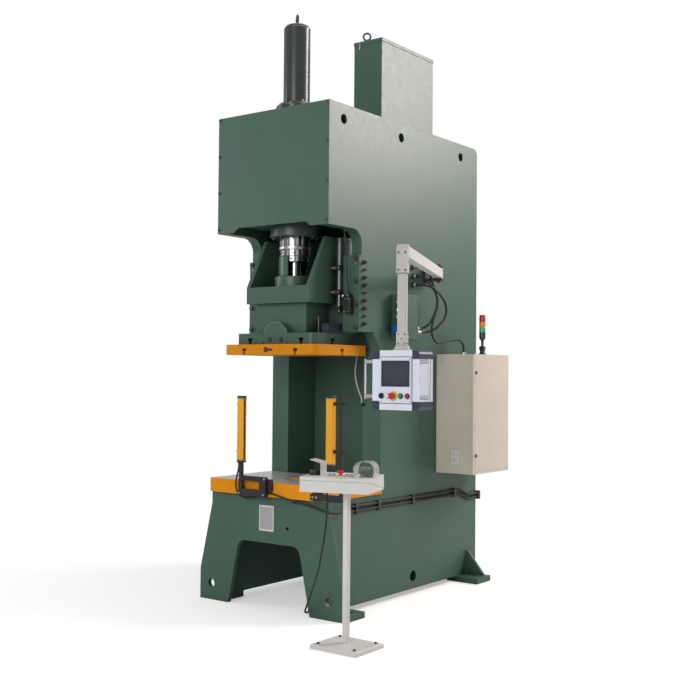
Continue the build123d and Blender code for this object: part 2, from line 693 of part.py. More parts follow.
def arm_bracket():
    """Wall plate with two lugs and the pin that the arm swings on."""
    top = ARM_Z1 + HINGE_GAP
    bottom = ARM_Z0 - HINGE_GAP
    part = block(OUT_X, OUT_X + 12, PIVOT_Y - 50, PIVOT_Y + 50, bottom - LUG_T - 8, top + LUG_T + 8)
    for z in (bottom - LUG_T, top):
        lug = block(OUT_X + 12, PIVOT_X, PIVOT_Y - BARREL_HINGE_R, PIVOT_Y + BARREL_HINGE_R, z, z + LUG_T)
        part += lug + rod(PIVOT_X, PIVOT_Y, z, z + LUG_T, BARREL_HINGE_R)
    return part + rod(PIVOT_X, PIVOT_Y, bottom - LUG_T - 12, top + LUG_T + 4, PIN_R)


def arm_frame():
    """Place of the arm: along X' from the pivot to the post."""
    angle = atan2(POST_Y - PIVOT_Y, POST_X - PIVOT_X) * 180 / pi
    return Pos(PIVOT_X, PIVOT_Y, 0) * Rot(0, 0, angle), hypot(POST_X - PIVOT_X, POST_Y - PIVOT_Y)


def arm_tube():
    """Rectangular tube from the hinge barrel to the elbow."""
    place, reach = arm_frame()
    end = reach - POST_W / 2 - 6
    tube = block(0, end, -ARM_W / 2, ARM_W / 2, ARM_Z0, ARM_Z1)
    tube = fillet(tube.edges().filter_by(Axis.X), 5)
    tube += rod(0, 0, ARM_Z0, ARM_Z1, BARREL_HINGE_R)
    tube -= block(BARREL_HINGE_R + 10, end + 1, ARM_WALL - ARM_W / 2, ARM_W / 2 - ARM_WALL,
                  ARM_Z0 + ARM_WALL, ARM_Z1 - ARM_WALL)
    return place * (tube - rod(0, 0, ARM_Z0 - 1, ARM_Z1 + 1, PIN_R + RUN))


def arm_post():
    """Elbow block at the arm's end and the square tube that hangs from it."""
    place, reach = arm_frame()
    half = POST_W / 2
    elbow = block(reach - half - 6, reach + half + 6, -half - 6, half + 6, ARM_Z0 - 96, ARM_Z1 + 4)
    outer_top = [e for e in elbow.edges().filter_by(Axis.Y) if e.center().X > reach and e.center().Z > ARM_Z1]
    elbow = fillet(outer_top, 40)
    post = block(reach - half, reach + half, -half, half, POST_Z, ARM_Z0 - 90)
    post = fillet(post.edges().filter_by(Axis.Z), 5)
    post -= block(reach - half + 4, reach + half - 4, 4 - half, half - 4, POST_Z - 1, ARM_Z0 - 100)
    return place * (elbow + post)


def panel_shape(grow, y0, y1):
    """Rounded block as wide as the panel plus grow on every side."""
    x = PANEL_W / 2 + grow
    body = block(POST_X - x, POST_X + x, y0, y1, PANEL_Z - grow, PANEL_TOP + grow)
    return fillet(body.edges().filter_by(Axis.Y), PANEL_CORNER_R + grow)


def corner_zone(grow):
    """The four corner blocks of the panel's outline, seen from the front."""
    zone = None
    for x in (POST_X - PANEL_W / 2 - grow, POST_X + PANEL_W / 2 + grow):
        for z in (PANEL_Z - grow, PANEL_TOP + grow):
            x0 = min(x, x - (1 if x > POST_X else -1) * PANEL_CORNER)
            z0 = min(z, z - (1 if z > PANEL_Z + 1 else -1) * PANEL_CORNER)
            piece = block(x0, x0 + PANEL_CORNER, PANEL_Y0 - 5, PANEL_Y0 + PANEL_D + 5, z0, z0 + PANEL_CORNER)
            zone = piece if zone is None else zone + piece
    return zone


def panel_housing():
    """Housing of the panel without its corner pieces, and the coupling to the post."""
    body = panel_shape(0, PANEL_Y0, PANEL_Y0 + PANEL_D) - corner_zone(0)
    neck = rod(POST_X, POST_Y, PANEL_TOP - 1, POST_Z - HINGE_GAP, 36)
    spigot = rod(POST_X, POST_Y, POST_Z - HINGE_GAP - 1, POST_Z + 40, POST_W / 2 - 4 - SEAT_GAP)
    return body + neck + spigot


def panel_corners():
    """Four corner pieces of the housing."""
    return (panel_shape(0, PANEL_Y0, PANEL_Y0 + PANEL_D) & corner_zone(0)).solids()


def front_hole(x, r):
    """Hole through the front plate for a button."""
    return rod_y(x, BUTTON_Z, FASCIA_Y - BEZEL_T - 1, PANEL_Y0 + 1, r)


def panel_front():
    """Front plate of the panel with the screen opening, button bezels and lamp."""
    x0 = POST_X - FASCIA_W / 2
    z0 = PANEL_Z + (PANEL_H - FASCIA_H) / 2
    plate = block(x0, x0 + FASCIA_W, FASCIA_Y, PANEL_Y0, z0, z0 + FASCIA_H)
    plate -= block(SCREEN_X0, SCREEN_X0 + SCREEN_W, FASCIA_Y - 1, FASCIA_Y + 4, SCREEN_Z0, SCREEN_Z0 + SCREEN_H)
    for x in (KNOB_X, GREEN_X, RED_X):
        plate += rod_y(x, BUTTON_Z, FASCIA_Y - BEZEL_T, FASCIA_Y + 1, BEZEL_R)
        plate -= front_hole(x, BUTTON_R + SEAT_GAP)
    plate += rod_y(ESTOP_X, BUTTON_Z, FASCIA_Y - BEZEL_T, FASCIA_Y + 1, 22)
    plate -= front_hole(ESTOP_X, BUTTON_R + SEAT_GAP)
    return plate + rod_y(LAMP_X, BUTTON_Z, FASCIA_Y - 9, FASCIA_Y + 1, BUTTON_R)


def touch_screen():
    """Touch screen set into the front plate."""
    rim = 3
    bezel = block(SCREEN_X0, SCREEN_X0 + SCREEN_W, FASCIA_Y - rim, FASCIA_Y + 4, SCREEN_Z0, SCREEN_Z0 + SCREEN_H)
    glass = block(SCREEN_X0 + 12, SCREEN_X0 + SCREEN_W - 12, FASCIA_Y - rim - 1, FASCIA_Y - rim + 1.5,
                  SCREEN_Z0 + 12, SCREEN_Z0 + SCREEN_H - 12)
    return bezel - glass


def panel_handles():
    """Bar handles on both sides of the panel."""
    handles = []
    for side in (-1, 1):
        wall = POST_X + side * PANEL_W / 2
        bar_x = wall + side * HANDLE_OUT
        y = PANEL_Y0 + 12
        bar = rod(bar_x, y, HANDLE_Z0, HANDLE_Z1, HANDLE_R)
        for z in (HANDLE_Z0 + HANDLE_FOOT_R + 4, HANDLE_Z1 - HANDLE_FOOT_R - 4):
            bar += rod_x(y, z, min(wall, bar_x), max(wall, bar_x), HANDLE_FOOT_R)
        handles.append(bar)
    return handles


def push_button(x, cap_r, cap_out, cap_t):
    """Button with its cap outside the bezel and its stem in the front plate."""
    y = FASCIA_Y - BEZEL_T
    stem = rod_y(x, BUTTON_Z, y - cap_out, PANEL_Y0 - BUTTON_TRAVEL - 0.5, BUTTON_R)
    return stem + rod_y(x, BUTTON_Z, y - cap_out - cap_t, y - cap_out, cap_r)


def selector_knob():
    """Turning knob with a raised grip bar."""
    y = FASCIA_Y - BEZEL_T - SEAT_GAP
    knob = rod_y(KNOB_X, BUTTON_Z, y - 8, y, BEZEL_R - 1)
    knob += rod_y(KNOB_X, BUTTON_Z, y - 1, PANEL_Y0 - 0.5, BUTTON_R)
    return knob + block(KNOB_X - 4, KNOB_X + 4, y - 18, y - 7, BUTTON_Z - BEZEL_R + 2, BUTTON_Z + BEZEL_R - 2)


# Electric cabinet

def cabinet_shell():
    """Sheet shell, open towards +X, with a folded rim and the hinge knuckles at the rear."""
    front_x = DOOR_X0 - DOOR_GAP
    shell = block(OUT_X, front_x, CAB_Y0, CAB_Y1, CAB_Z0, CAB_Z1)
    shell -= block(OUT_X + CAB_WALL, front_x - 15, CAB_Y0 + CAB_WALL, CAB_Y1 - CAB_WALL,
                   CAB_Z0 + CAB_WALL, CAB_Z1 - CAB_WALL)
    shell -= block(front_x - 20, front_x + 1, CAB_Y0 + 18, CAB_Y1 - 18, CAB_Z0 + 18, CAB_Z1 - 18)
    for z in (CAB_Z0 + 120, CAB_Z1 - 160):
        shell += block(front_x - 30, front_x, CAB_Y1, CAB_Y1 + 6, z, z + 40)
        shell += rod(front_x, CAB_Y1 + 6, z, z + 40, 6)
        shell -= rod(front_x, CAB_Y1 + 6, z - 1, z + 41, 2.5 + RUN)
    return shell


def cabinet_devices():
    """Mounting plate with rails, wiring ducts and the devices on it."""
    x = OUT_X + CAB_WALL
    y0 = CAB_Y0 + 40
    y1 = CAB_Y1 - 40
    z0 = CAB_Z0 + 60
    z1 = CAB_Z1 - 60
    part = block(x, x + 4, y0, y1, z0, z1)
    rows = 3
    pitch = (z1 - z0) / rows
    for row in range(rows):
        z = z0 + pitch * (row + 0.5)
        part += block(x + 4, x + 12, y0 + 20, y1 - 20, z - 18, z + 18)
        part += block(x + 4, x + 54, y0 + 20, y1 - 20, z + pitch / 2 - 40, z + pitch / 2 - 5)
        for index in range(5):
            y = y0 + 35 + index * 74
            part += block(x + 12, x + 80 - 6 * row, y, y + 60, z - 42, z + 42)
    return part


def cabinet_door():
    """Folded door with its hinge leaves and pins."""
    front_x = DOOR_X0 - DOOR_GAP
    door = block(DOOR_X0, CAB_X1, CAB_Y0, CAB_Y1, CAB_Z0, CAB_Z1)
    door = fillet(door.edges().filter_by(Axis.Z).group_by(Axis.X)[-1], 3)
    door -= block(DOOR_X0 - 1, CAB_X1 - CAB_WALL, CAB_Y0 + CAB_WALL, CAB_Y1 - CAB_WALL,
                  CAB_Z0 + CAB_WALL, CAB_Z1 - CAB_WALL)
    for z in (CAB_Z0 + 120, CAB_Z1 - 160):
        leaf_z = z + 40 + SEAT_GAP
        door += block(DOOR_X0, CAB_X1 - 6, CAB_Y1 - 1, CAB_Y1 + 4, leaf_z, leaf_z + 30)
        door += rod(front_x, CAB_Y1 + 6, leaf_z, leaf_z + 30, 6)
        door += block(front_x, DOOR_X0 + 2, CAB_Y1 + 0.5, CAB_Y1 + 10, leaf_z, leaf_z + 30)
        door += rod(front_x, CAB_Y1 + 6, z, leaf_z + 1, 2.5)
    for z in lock_heights():
        door -= rod_x(CAB_Y0 + 36, z, CAB_X1 - CAB_WALL - 1, CAB_X1 + 1, LOCK_R - 2 + SEAT_GAP)
    return door


def lock_heights():
    """Heights of the two door locks."""
    return CAB_Z0 + LOCK_Z_INSET, CAB_Z1 - LOCK_Z_INSET


def door_lock(z):
    """Quarter-turn lock: rosette, barrel with its key slot, and the cam behind the door."""
    y = CAB_Y0 + 36
    lock = rod_x(y, z, CAB_X1 - CAB_WALL - 12, CAB_X1, LOCK_R - 2)
    lock += rod_x(y, z, CAB_X1 + SEAT_GAP, CAB_X1 + 6, LOCK_R)
    lock += rod_x(y, z, CAB_X1 - 1, CAB_X1 + SEAT_GAP + 1, LOCK_R - 2)
    lock += block(CAB_X1 - CAB_WALL - 12, CAB_X1 - CAB_WALL - 8, y - 28, y + 8, z - 8, z + 8)
    return lock - block(CAB_X1 + 3, CAB_X1 + 7, y - 7, y + 7, z - 1.5, z + 1.5)


def stack_light():
    """Folding foot, stem, base and three lenses with a cap, on the cabinet."""
    z = CAB_Z1
    foot = block(BEACON_X - 20, BEACON_X + 20, BEACON_Y - 20, BEACON_Y + 20, z, z + 10)
    foot += block(BEACON_X - 12, BEACON_X + 12, BEACON_Y - 16, BEACON_Y + 16, z + 10, z + 62)
    foot += rod_x(BEACON_Y, z + 46, BEACON_X - 18, BEACON_X + 18, 16)
    stem = rod(BEACON_X, BEACON_Y, z + 60, z + 106, 10)
    base = turned([(0, z + 104), (13, z + 104), (BEACON_R, z + 122), (BEACON_R, z + 160), (0, z + 160)],
                  BEACON_X, BEACON_Y)
    parts = [foot + stem + base]
    height = z + 160
    for _ in range(3):
        parts.append(turned([(0, height), (BEACON_R - 2, height), (BEACON_R, height + 4), (BEACON_R, height + 34),
                             (BEACON_R - 2, height + 38), (0, height + 38)], BEACON_X, BEACON_Y))
        height += 38
    cap = rod(BEACON_X, BEACON_Y, height, height + 14, BEACON_R - 1)
    parts.append(fillet(cap.edges().group_by(Axis.Z)[-1], 6))
    return parts


# Side of the frame

def junction_box():
    """Box on the right side plate with valve knobs on its front face."""
    box = block(OUT_X, JB_X1, JB_Y0, JB_Y1, JB_Z0, JB_Z1)
    box = fillet(box.edges().filter_by(Axis.Z).group_by(Axis.X)[-1], 4)
    middle = (OUT_X + JB_X1) / 2 + 14
    for z in (JB_Z1 - 60, JB_Z1 - 110, JB_Z1 - 160):
        box += rod_y(middle, z, JB_Y0 - 26, JB_Y0 + 1, 12)
        box += rod_y(middle, z, JB_Y0 - 40, JB_Y0 - 25, 7)
    return box + block(middle - 30, middle + 26, JB_Y0 - 46, JB_Y0 + 1, JB_Z0 + 36, JB_Z0 + 96)


HOSE_FITTING = 50
HOSE_X_B = 532
HOSE_Z_B = 1826
HOSE_X_C = 548
HOSE_Z_C = 1800
CABINET_GLAND = (570, 598)
CABINET_GLAND_TOP = CAB_Z1 + 22
CONDUIT_Y0 = -640
PEDESTAL_GLAND = (375, -650, 32)


def clip(y):
    """Saddle block on the side plate around both conduits."""
    part = block(OUT_X, CLIP_X + CONDUIT_D / 2 + 5, y - 12, y + 12, CONDUIT_ZS[1] - 17, CONDUIT_ZS[0] + 17)
    part = fillet(part.edges().filter_by(Axis.Y).group_by(Axis.X)[-1], 6)
    for z in CONDUIT_ZS:
        part -= rod_y(CLIP_X, z, y - 13, y + 13, CONDUIT_D / 2 + 0.3)
    return part


def hose_fitting(x, z):
    """Straight fitting on the junction box's rear face: hexagon, then the crimped sleeve."""
    hexagon = Pos(x, JB_Y1, z) * Rot(-90, 0, 0) * hex_head(22, 14)
    return hexagon + rod_y(x, z, JB_Y1 + 14, JB_Y1 + HOSE_FITTING, 10)


def cable_fittings():
    """Glands, hose fittings, saddle clips and the conduit end blocks."""
    parts = []
    for z in GLAND_ZS:
        gland = Pos(OUT_X, GLAND_Y, z) * Rot(0, 90, 0) * hex_head(30, 12)
        parts.append(gland + rod_x(GLAND_Y, z, OUT_X + 12, OUT_X + GLAND_OUT, 12))
    parts.append(hose_fitting(HOSE_X_B, HOSE_Z_B))
    parts.append(hose_fitting(HOSE_X_C, HOSE_Z_C))
    parts.append(rod(*CABINET_GLAND, CAB_Z1, CABINET_GLAND_TOP, 14))
    for y in CLAMP_YS:
        parts.append(clip(y))
    end_z = CONDUIT_ZS[1]
    parts.append(block(OUT_X - 40, OUT_X + 26, REAR_Y, REAR_Y + 26, end_z - 62, end_z))
    parts.append(block(OUT_X, CLIP_X + 11, CONDUIT_Y0 - 24, CONDUIT_Y0, CONDUIT_ZS[1] - 12, CONDUIT_ZS[1] + 12))
    x, y, z = PEDESTAL_GLAND
    parts.append(rod_x(y, z, x, IN_X, 12))
    top = THROAT_HOSE[0]
    low = THROAT_HOSE[-1]
    parts.append(rod_x(top[1], top[2] + 12, top[0] - 8, LINER_X, 8) + rod(*top, top[2] + 12, 8))
    parts.append(rod_y(low[0], low[2] - 12, low[1] - 8, COLUMN_Y, 8) + rod(low[0], low[1], low[2] - 12, low[2], 8))
    gland = SWITCH_CABLE[0]
    parts.append(rod(gland[0], gland[1], gland[2], HEAD_Z, 9))
    return parts


# Light curtains

def light_curtains():
    """Two housings of equal section, with their end caps."""
    parts = []
    for x, z in ((LEFT_CURTAIN_X, LEFT_CURTAIN_Z), (RIGHT_CURTAIN_X, RIGHT_CURTAIN_Z)):
        bar = block(x, x + CURTAIN_W, CURTAIN_Y0, CURTAIN_Y0 + CURTAIN_D, z, z + CURTAIN_H)
        bar = fillet(bar.edges().filter_by(Axis.Z), 3)
        groove_x = x + CURTAIN_W if x < 0 else x
        bar -= block(groove_x - 3, groove_x + 3, CURTAIN_Y0 + 9, CURTAIN_Y0 + CURTAIN_D - 9, z + 14, z + CURTAIN_H - 14)
        parts.append(bar)
    return parts


def curtain_brackets():
    """Frame bracket of the left curtain, post and arm of the right one."""
    y0 = CURTAIN_Y0 + 4
    y1 = y0 + 24
    loop = block(-193, 36, y0, y1, 725, 850) - block(-164, -17, y0 - 1, y1 + 1, 765, 820)
    loop += block(-192, -168, y0 + 2, y1 - 2, 849, LEFT_CURTAIN_Z)
    loop += block(-10, 67, y1 - 6, BOLSTER_FRONT_Y, 760, 836)
    for z in (LEFT_CURTAIN_Z + 71, LEFT_CURTAIN_Z + 373):
        loop += rod_x(CURTAIN_Y0 + 20, z, LEFT_CURTAIN_X - 14, LEFT_CURTAIN_X, 7)
    right_x = RIGHT_CURTAIN_X + CURTAIN_W
    post = block(CURTAIN_POST_X - 10, CURTAIN_POST_X + 10, y0, y1, 745, 1385)
    post += block(400, CURTAIN_POST_X + 10, y0, y1, 735, 775)
    post += block(400, 470, y1 - 1, BOLSTER_FRONT_Y, 728, 790)
    for z in (RIGHT_CURTAIN_Z + 92, RIGHT_CURTAIN_Z + 382):
        post += rod_x(CURTAIN_Y0 + 16, z, right_x, CURTAIN_POST_X + 30, 6)
        post += rod_x(CURTAIN_Y0 + 16, z, right_x, right_x + 12, 11)
    return [loop, post]


# Pedestal

def pedestal_stand():
    """Folded base plate and the square pole welded to it."""
    base = block(BASE_X - BASE_W / 2, BASE_X + BASE_W / 2, BASE_Y - BASE_D / 2, BASE_Y + BASE_D / 2, 0, BASE_T)
    base = chamfer(base.edges().group_by(Axis.Z)[-1], 4)
    half = POLE_W / 2
    pole = block(POLE_X - half, POLE_X + half, POLE_Y - half, POLE_Y + half, BASE_T - 1, BOX_Z)
    return base + pole


def box_place():
    """Place of the pedestal box, turned about the upright axis."""
    return Pos(BOX_X, BOX_Y, 0) * Rot(0, 0, BOX_YAW)


def box_shell():
    """Closed sheet shell of the pedestal box, about its own axes."""
    outer = block(-BOX_W / 2, BOX_W / 2, -BOX_D / 2, BOX_D / 2, BOX_Z, BOX_TOP)
    wall = BOX_WALL
    inner = block(wall - BOX_W / 2, BOX_W / 2 - wall, wall - BOX_D / 2, BOX_D / 2 - wall, BOX_Z + wall, BOX_TOP - wall)
    return outer - inner


def wedge(low):
    """Half of the box's space below or above its diagonal seam."""
    gap = 0.15
    front = -BOX_D / 2
    rear = BOX_D / 2
    if low:
        outline = [(front - 1, BOX_Z - 1), (rear + 1, BOX_Z - 1), (rear + 1, BOX_Z + BOX_WALL - gap),
                   (front - 1, BOX_TOP - BOX_WALL - gap)]
    else:
        outline = [(front - 1, BOX_TOP + 1), (rear + 1, BOX_TOP + 1), (rear + 1, BOX_Z + BOX_WALL + gap),
                   (front - 1, BOX_TOP - BOX_WALL + gap)]
    return along_x(outline, -BOX_W / 2 - 1, BOX_W / 2 + 1)


def pedestal_box():
    """Lower half of the pedestal box: floor, front and the wedge-shaped sides."""
    return box_place() * (box_shell() & wedge(True))


def pedestal_lid():
    """Upper half of the pedestal box with the button holes and blanking plugs."""
    lid = box_shell() & wedge(False)
    for u in (-PALM_U, PALM_U, 0):
        r = (14 if u else 9) + SEAT_GAP
        lid -= rod(u, PALM_V, BOX_TOP - 5, BOX_TOP + 1, r)
    for u in (-62, -38, 38, 62):
        lid += rod(u, PALM_V, BOX_TOP - 1, BOX_TOP + 7, 10)
    return box_place() * lid


def palm_guards():
    """Bent guard beside the left button and arched hood over the right one."""
    top = BOX_TOP
    v0 = PALM_V - GUARD_D / 2
    v1 = PALM_V + GUARD_D / 2
    wall_u = -PALM_U + 46
    bent = [(wall_u, top), (wall_u, top + 70), (wall_u - 62, top + GUARD_H), (wall_u - 62, top + GUARD_H + GUARD_T),
            (wall_u + GUARD_T, top + 70 + GUARD_T), (wall_u + GUARD_T, top + GUARD_T), (wall_u + 20, top + GUARD_T),
            (wall_u + 20, top)]
    left = along_y(bent, v0, v1)
    half = GUARD_W / 2
    outer = block(PALM_U - half, PALM_U + half, v0, v1, top, top + GUARD_H)
    outer = rounded(outer, Axis.Y, [(PALM_U - half, top + GUARD_H), (PALM_U + half, top + GUARD_H)], 45)
    inner = block(PALM_U - half + GUARD_T, PALM_U + half - GUARD_T, v0 - 1, v1 + 1, top - 1, top + GUARD_H - GUARD_T)
    inner = rounded(inner, Axis.Y, [(PALM_U - half + GUARD_T, top + GUARD_H - GUARD_T),
                                    (PALM_U + half - GUARD_T, top + GUARD_H - GUARD_T)], 45 - GUARD_T)
    return [box_place() * left, box_place() * (outer - inner)]


def palm_button(u):
    """Mushroom button whose stem runs in the lid."""
    z = BOX_TOP + 14
    cap = rod(u, PALM_V, z, z + 16, PALM_R)
    cap = fillet(cap.edges().group_by(Axis.Z)[-1], 8)
    return box_place() * (cap + rod(u, PALM_V, BOX_TOP - 20, z + 1, 14))


def pedestal_estop():
    """Red mushroom button in the middle of the lid."""
    z = BOX_TOP + 16
    cap = rod(0, PALM_V, z, z + 14, 20)
    cap = fillet(cap.edges().group_by(Axis.Z)[-1], 6)
    return box_place() * (cap + rod(0, PALM_V, BOX_TOP - 16, z + 1, 9))


# Cords; each route is a list of points chosen by eye

GLAND_X = OUT_X + GLAND_OUT

HOSE_UPPER = [
    (GLAND_X, GLAND_Y, GLAND_ZS[1]), (530, GLAND_Y, GLAND_ZS[1]), (560, 78, 2175), (581, 96, 2151),
    (592, 120, 2122), (598, 158, 2083), (600, 179, 2050), (600, 184, 2011), (597, 180, 1970), (592, 164, 1931),
    (585, 149, 1898), (575, 137, 1871), (560, 124, 1850), (544, 105, 1834), (HOSE_X_B, JB_Y1 + 82, HOSE_Z_B),
    (HOSE_X_B, JB_Y1 + HOSE_FITTING, HOSE_Z_B)]
HOSE_LOWER = [
    (GLAND_X, GLAND_Y, GLAND_ZS[2]), (530, GLAND_Y, GLAND_ZS[2]), (562, 78, 2125), (590, 93, 2116),
    (612, 118, 2102), (624, 143, 2079), (628, 185, 2056), (629, 227, 2027), (629, 253, 1988), (628, 259, 1947),
    (625, 245, 1908), (620, 222, 1878), (614, 193, 1855), (606, 170, 1834), (591, 148, 1818), (573, 126, 1808),
    (557, 105, 1802), (HOSE_X_C, JB_Y1 + 80, HOSE_Z_C), (HOSE_X_C, JB_Y1 + HOSE_FITTING, HOSE_Z_C)]
CABINET_CABLE = [
    (GLAND_X, GLAND_Y, GLAND_ZS[0]), (532, GLAND_Y, GLAND_ZS[0]), (565, 84, 2240), (578, 110, 2213),
    (578, 136, 2176), (574, 172, 2126), (570, 211, 2080), (567, 243, 2038), (562, 250, 1988), (557, 236, 1941),
    (553, 213, 1898), (551, 194, 1853), (550, 190, 1807), (550, 208, 1765), (552, 242, 1737), (554, 286, 1729),
    (557, 331, 1737), (560, 375, 1748), (562, 422, 1754), (565, 478, 1758), (568, 520, 1760), (569, 554, 1753),
    (570, 582, 1735), (*CABINET_GLAND, CABINET_GLAND_TOP + 30), (*CABINET_GLAND, CABINET_GLAND_TOP)]
CURTAIN_CABLE = [
    (-200, CURTAIN_Y0 + 16, LEFT_CURTAIN_Z), (-200, CURTAIN_Y0 + 16, 904), (-209, -950, 868), (-221, -950, 832),
    (-228, -950, 794), (-225, -947, 756), (-210, -940, 723), (-178, -931, 707), (-130, -928, 706),
    (-84, -926, 716), (-38, -926, 733), (10, -926, 746), (56, -926, 746), (102, -926, 738), (148, -926, 729),
    (196, -924, 719), (246, -914, 709), (296, -903, 699), (348, -898, 688), (400, -898, 677), (448, -900, 666),
    (490, -900, 658), (524, -888, 655), (543, -860, 655), (545, -825, 657), (535, -790, 661), (516, -757, 665),
    (497, -724, 668), (CLIP_X, -688, CONDUIT_ZS[0]), (CLIP_X, CONDUIT_Y0, CONDUIT_ZS[0])]
PEDESTAL_CABLE = [
    (844, -1370, BOX_Z), (844, -1370, 800), (841, -1367, 728), (829, -1359, 652), (806, -1344, 580),
    (774, -1320, 513), (738, -1290, 450), (700, -1255, 390), (655, -1216, 336), (607, -1172, 290),
    (559, -1129, 245), (511, -1084, 200), (462, -1039, 156), (414, -993, 114), (365, -945, 74), (315, -897, 37),
    (274, -838, 9), (256, -777, 7), (264, -718, 10), (292, -672, 22), (335, PEDESTAL_GLAND[1], 32),
    PEDESTAL_GLAND]
THROAT_HOSE = [
    (270, -300, 1680), (270, -300, 1642), (268, -308, 1600), (269, -320, 1557), (274, -329, 1514),
    (283, -333, 1470), (296, -333, 1426), (313, -332, 1386), (332, -332, 1352), (332, -332, 1318)]

SWITCH_CABLE = [
    (422, -660, HEAD_Z - 20), (422, -660, 2386), (425, -655, 2340), (428, -647, 2295), (428, -640, 2250),
    (424, -633, 2205), (417, -623, 2162), (409, -609, 2124), (403, -596, 2092),
    (SWITCH_X + 23, GIB_FRONT_Y - 23, 2058), (SWITCH_X + 23, GIB_FRONT_Y - 23, SWITCH_TOP + 20)]


def side_conduits():
    """Two conduits clipped along the side plate; both dip before the rear edge."""
    upper = [(CLIP_X, CONDUIT_Y0, CONDUIT_ZS[0]), (CLIP_X, 690, CONDUIT_ZS[0]), (CLIP_X, 762, 648),
             (CLIP_X, 820, 620), (CLIP_X, 892, 622), (CLIP_X, REAR_Y, 622)]
    lower = [(CLIP_X, CONDUIT_Y0, CONDUIT_ZS[1]), (CLIP_X, 690, CONDUIT_ZS[1]), (CLIP_X, 762, 618),
             (CLIP_X, 820, 590), (CLIP_X, 892, 596), (CLIP_X, REAR_Y, 596)]
    return [cord("side_conduits", upper, CONDUIT_D), cord("side_conduits", lower, CONDUIT_D)]


# Write every node

right_plate = side_plate()
save("side_plate_right", right_plate)
save("side_plate_left", mirror(right_plate, about=Plane.YZ))
save("throat_plates", *throat_plates())
save("top_rear_plate", top_rear_plate())
save("cylinder_plate", cylinder_plate())
save("front_cover", front_cover())
save("base_apron", base_apron())
save("anchor_feet", *anchor_feet())
save("bolster", bolster())
save("main_cylinder", *main_cylinder())
save("cylinder_tail", cylinder_tail())
save("valve_box", valve_box())
save("valve_box_lid", valve_box_lid())
save("front_gibs", *front_gibs())
save("gib_bars", *gib_bars())
save("gib_bolts", *gib_bolts())
save("limit_switch", limit_switch())
save("junction_box", junction_box())
save("cable_fittings", *cable_fittings())
save("cabinet_shell", cabinet_shell())
save("cabinet_devices", cabinet_devices())
save("arm_bracket", arm_bracket())
save("pedestal_stand", pedestal_stand())
save("pedestal_box", pedestal_box())
save("pedestal_lid", pedestal_lid())
save("palm_guards", *palm_guards())
save("light_curtains", *light_curtains())
save("curtain_brackets", *curtain_brackets())
save("stack_light", *stack_light())
save("piston_rod", piston_rod())
save("lock_ring", lock_ring())
save("coupling_cup", coupling_cup())
save("slide_body", slide_body())
save("slide_plate", slide_plate())
save("shank_clamp", shank_clamp())
save("trip_rod", trip_rod())
save("flange_block", flange_block())
save("arm_tube", arm_tube())
save("arm_post", arm_post())
save("panel_housing", panel_housing())
save("panel_corners", *panel_corners())
save("panel_front", panel_front())
save("touch_screen", touch_screen())
save("panel_handles", *panel_handles())
save("selector_knob", selector_knob())
save("panel_estop", push_button(ESTOP_X, 19, 10, 12))
save("start_button", push_button(GREEN_X, BUTTON_R + 1, 4 + SEAT_GAP, 5))
save("stop_button", push_button(RED_X, BUTTON_R + 1, 4 + SEAT_GAP, 5))
save("cabinet_door", cabinet_door())
save("lock_lower", door_lock(lock_heights()[0]))
save("lock_upper", door_lock(lock_heights()[1]))
save("palm_button_left", palm_button(-PALM_U))
save("palm_button_right", palm_button(PALM_U))
save("pedestal_estop", pedestal_estop())
save("hose_upper", cord("hose_upper", HOSE_UPPER, HOSE_D))
save("hose_lower", cord("hose_lower", HOSE_LOWER, HOSE_D))
save("cabinet_cable", cord("cabinet_cable", CABINET_CABLE, CABLE_D))
save("side_conduits", *side_conduits())
save("curtain_cable", cord("curtain_cable", CURTAIN_CABLE, CURTAIN_CABLE_D))
save("pedestal_cable", cord("pedestal_cable", PEDESTAL_CABLE, PEDESTAL_CABLE_D))
save("throat_hose", cord("throat_hose", THROAT_HOSE, THROAT_HOSE_D))
save("switch_cable", cord("switch_cable", SWITCH_CABLE, SWITCH_CABLE_D))
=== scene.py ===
from math import atan2, cos, pi, radians, sin

import bmesh
import bpy
from mathutils import Matrix, Vector


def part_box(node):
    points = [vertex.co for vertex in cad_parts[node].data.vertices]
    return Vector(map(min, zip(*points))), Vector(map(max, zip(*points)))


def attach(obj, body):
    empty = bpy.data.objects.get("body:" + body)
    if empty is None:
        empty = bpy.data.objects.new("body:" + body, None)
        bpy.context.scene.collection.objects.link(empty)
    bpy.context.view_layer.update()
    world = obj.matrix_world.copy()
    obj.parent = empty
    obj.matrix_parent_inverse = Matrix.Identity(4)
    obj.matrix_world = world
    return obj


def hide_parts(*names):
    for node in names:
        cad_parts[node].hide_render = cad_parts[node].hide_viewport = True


bl_info = {
    "name": "Hydraulic press dressing",
    "version": (1, 0, 0),
    "blender": (4, 5, 0),
    "location": "View3D > Sidebar > Press",
    "description": "Finishes and fine detail for a C-frame hydraulic press",
    "category": "Object",
}

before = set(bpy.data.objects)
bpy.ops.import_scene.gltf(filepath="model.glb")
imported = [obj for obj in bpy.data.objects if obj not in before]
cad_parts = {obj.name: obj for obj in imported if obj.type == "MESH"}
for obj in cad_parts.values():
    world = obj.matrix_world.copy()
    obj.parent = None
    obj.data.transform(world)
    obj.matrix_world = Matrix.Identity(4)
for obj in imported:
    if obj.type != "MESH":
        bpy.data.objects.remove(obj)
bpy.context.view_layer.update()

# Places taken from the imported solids, in metres

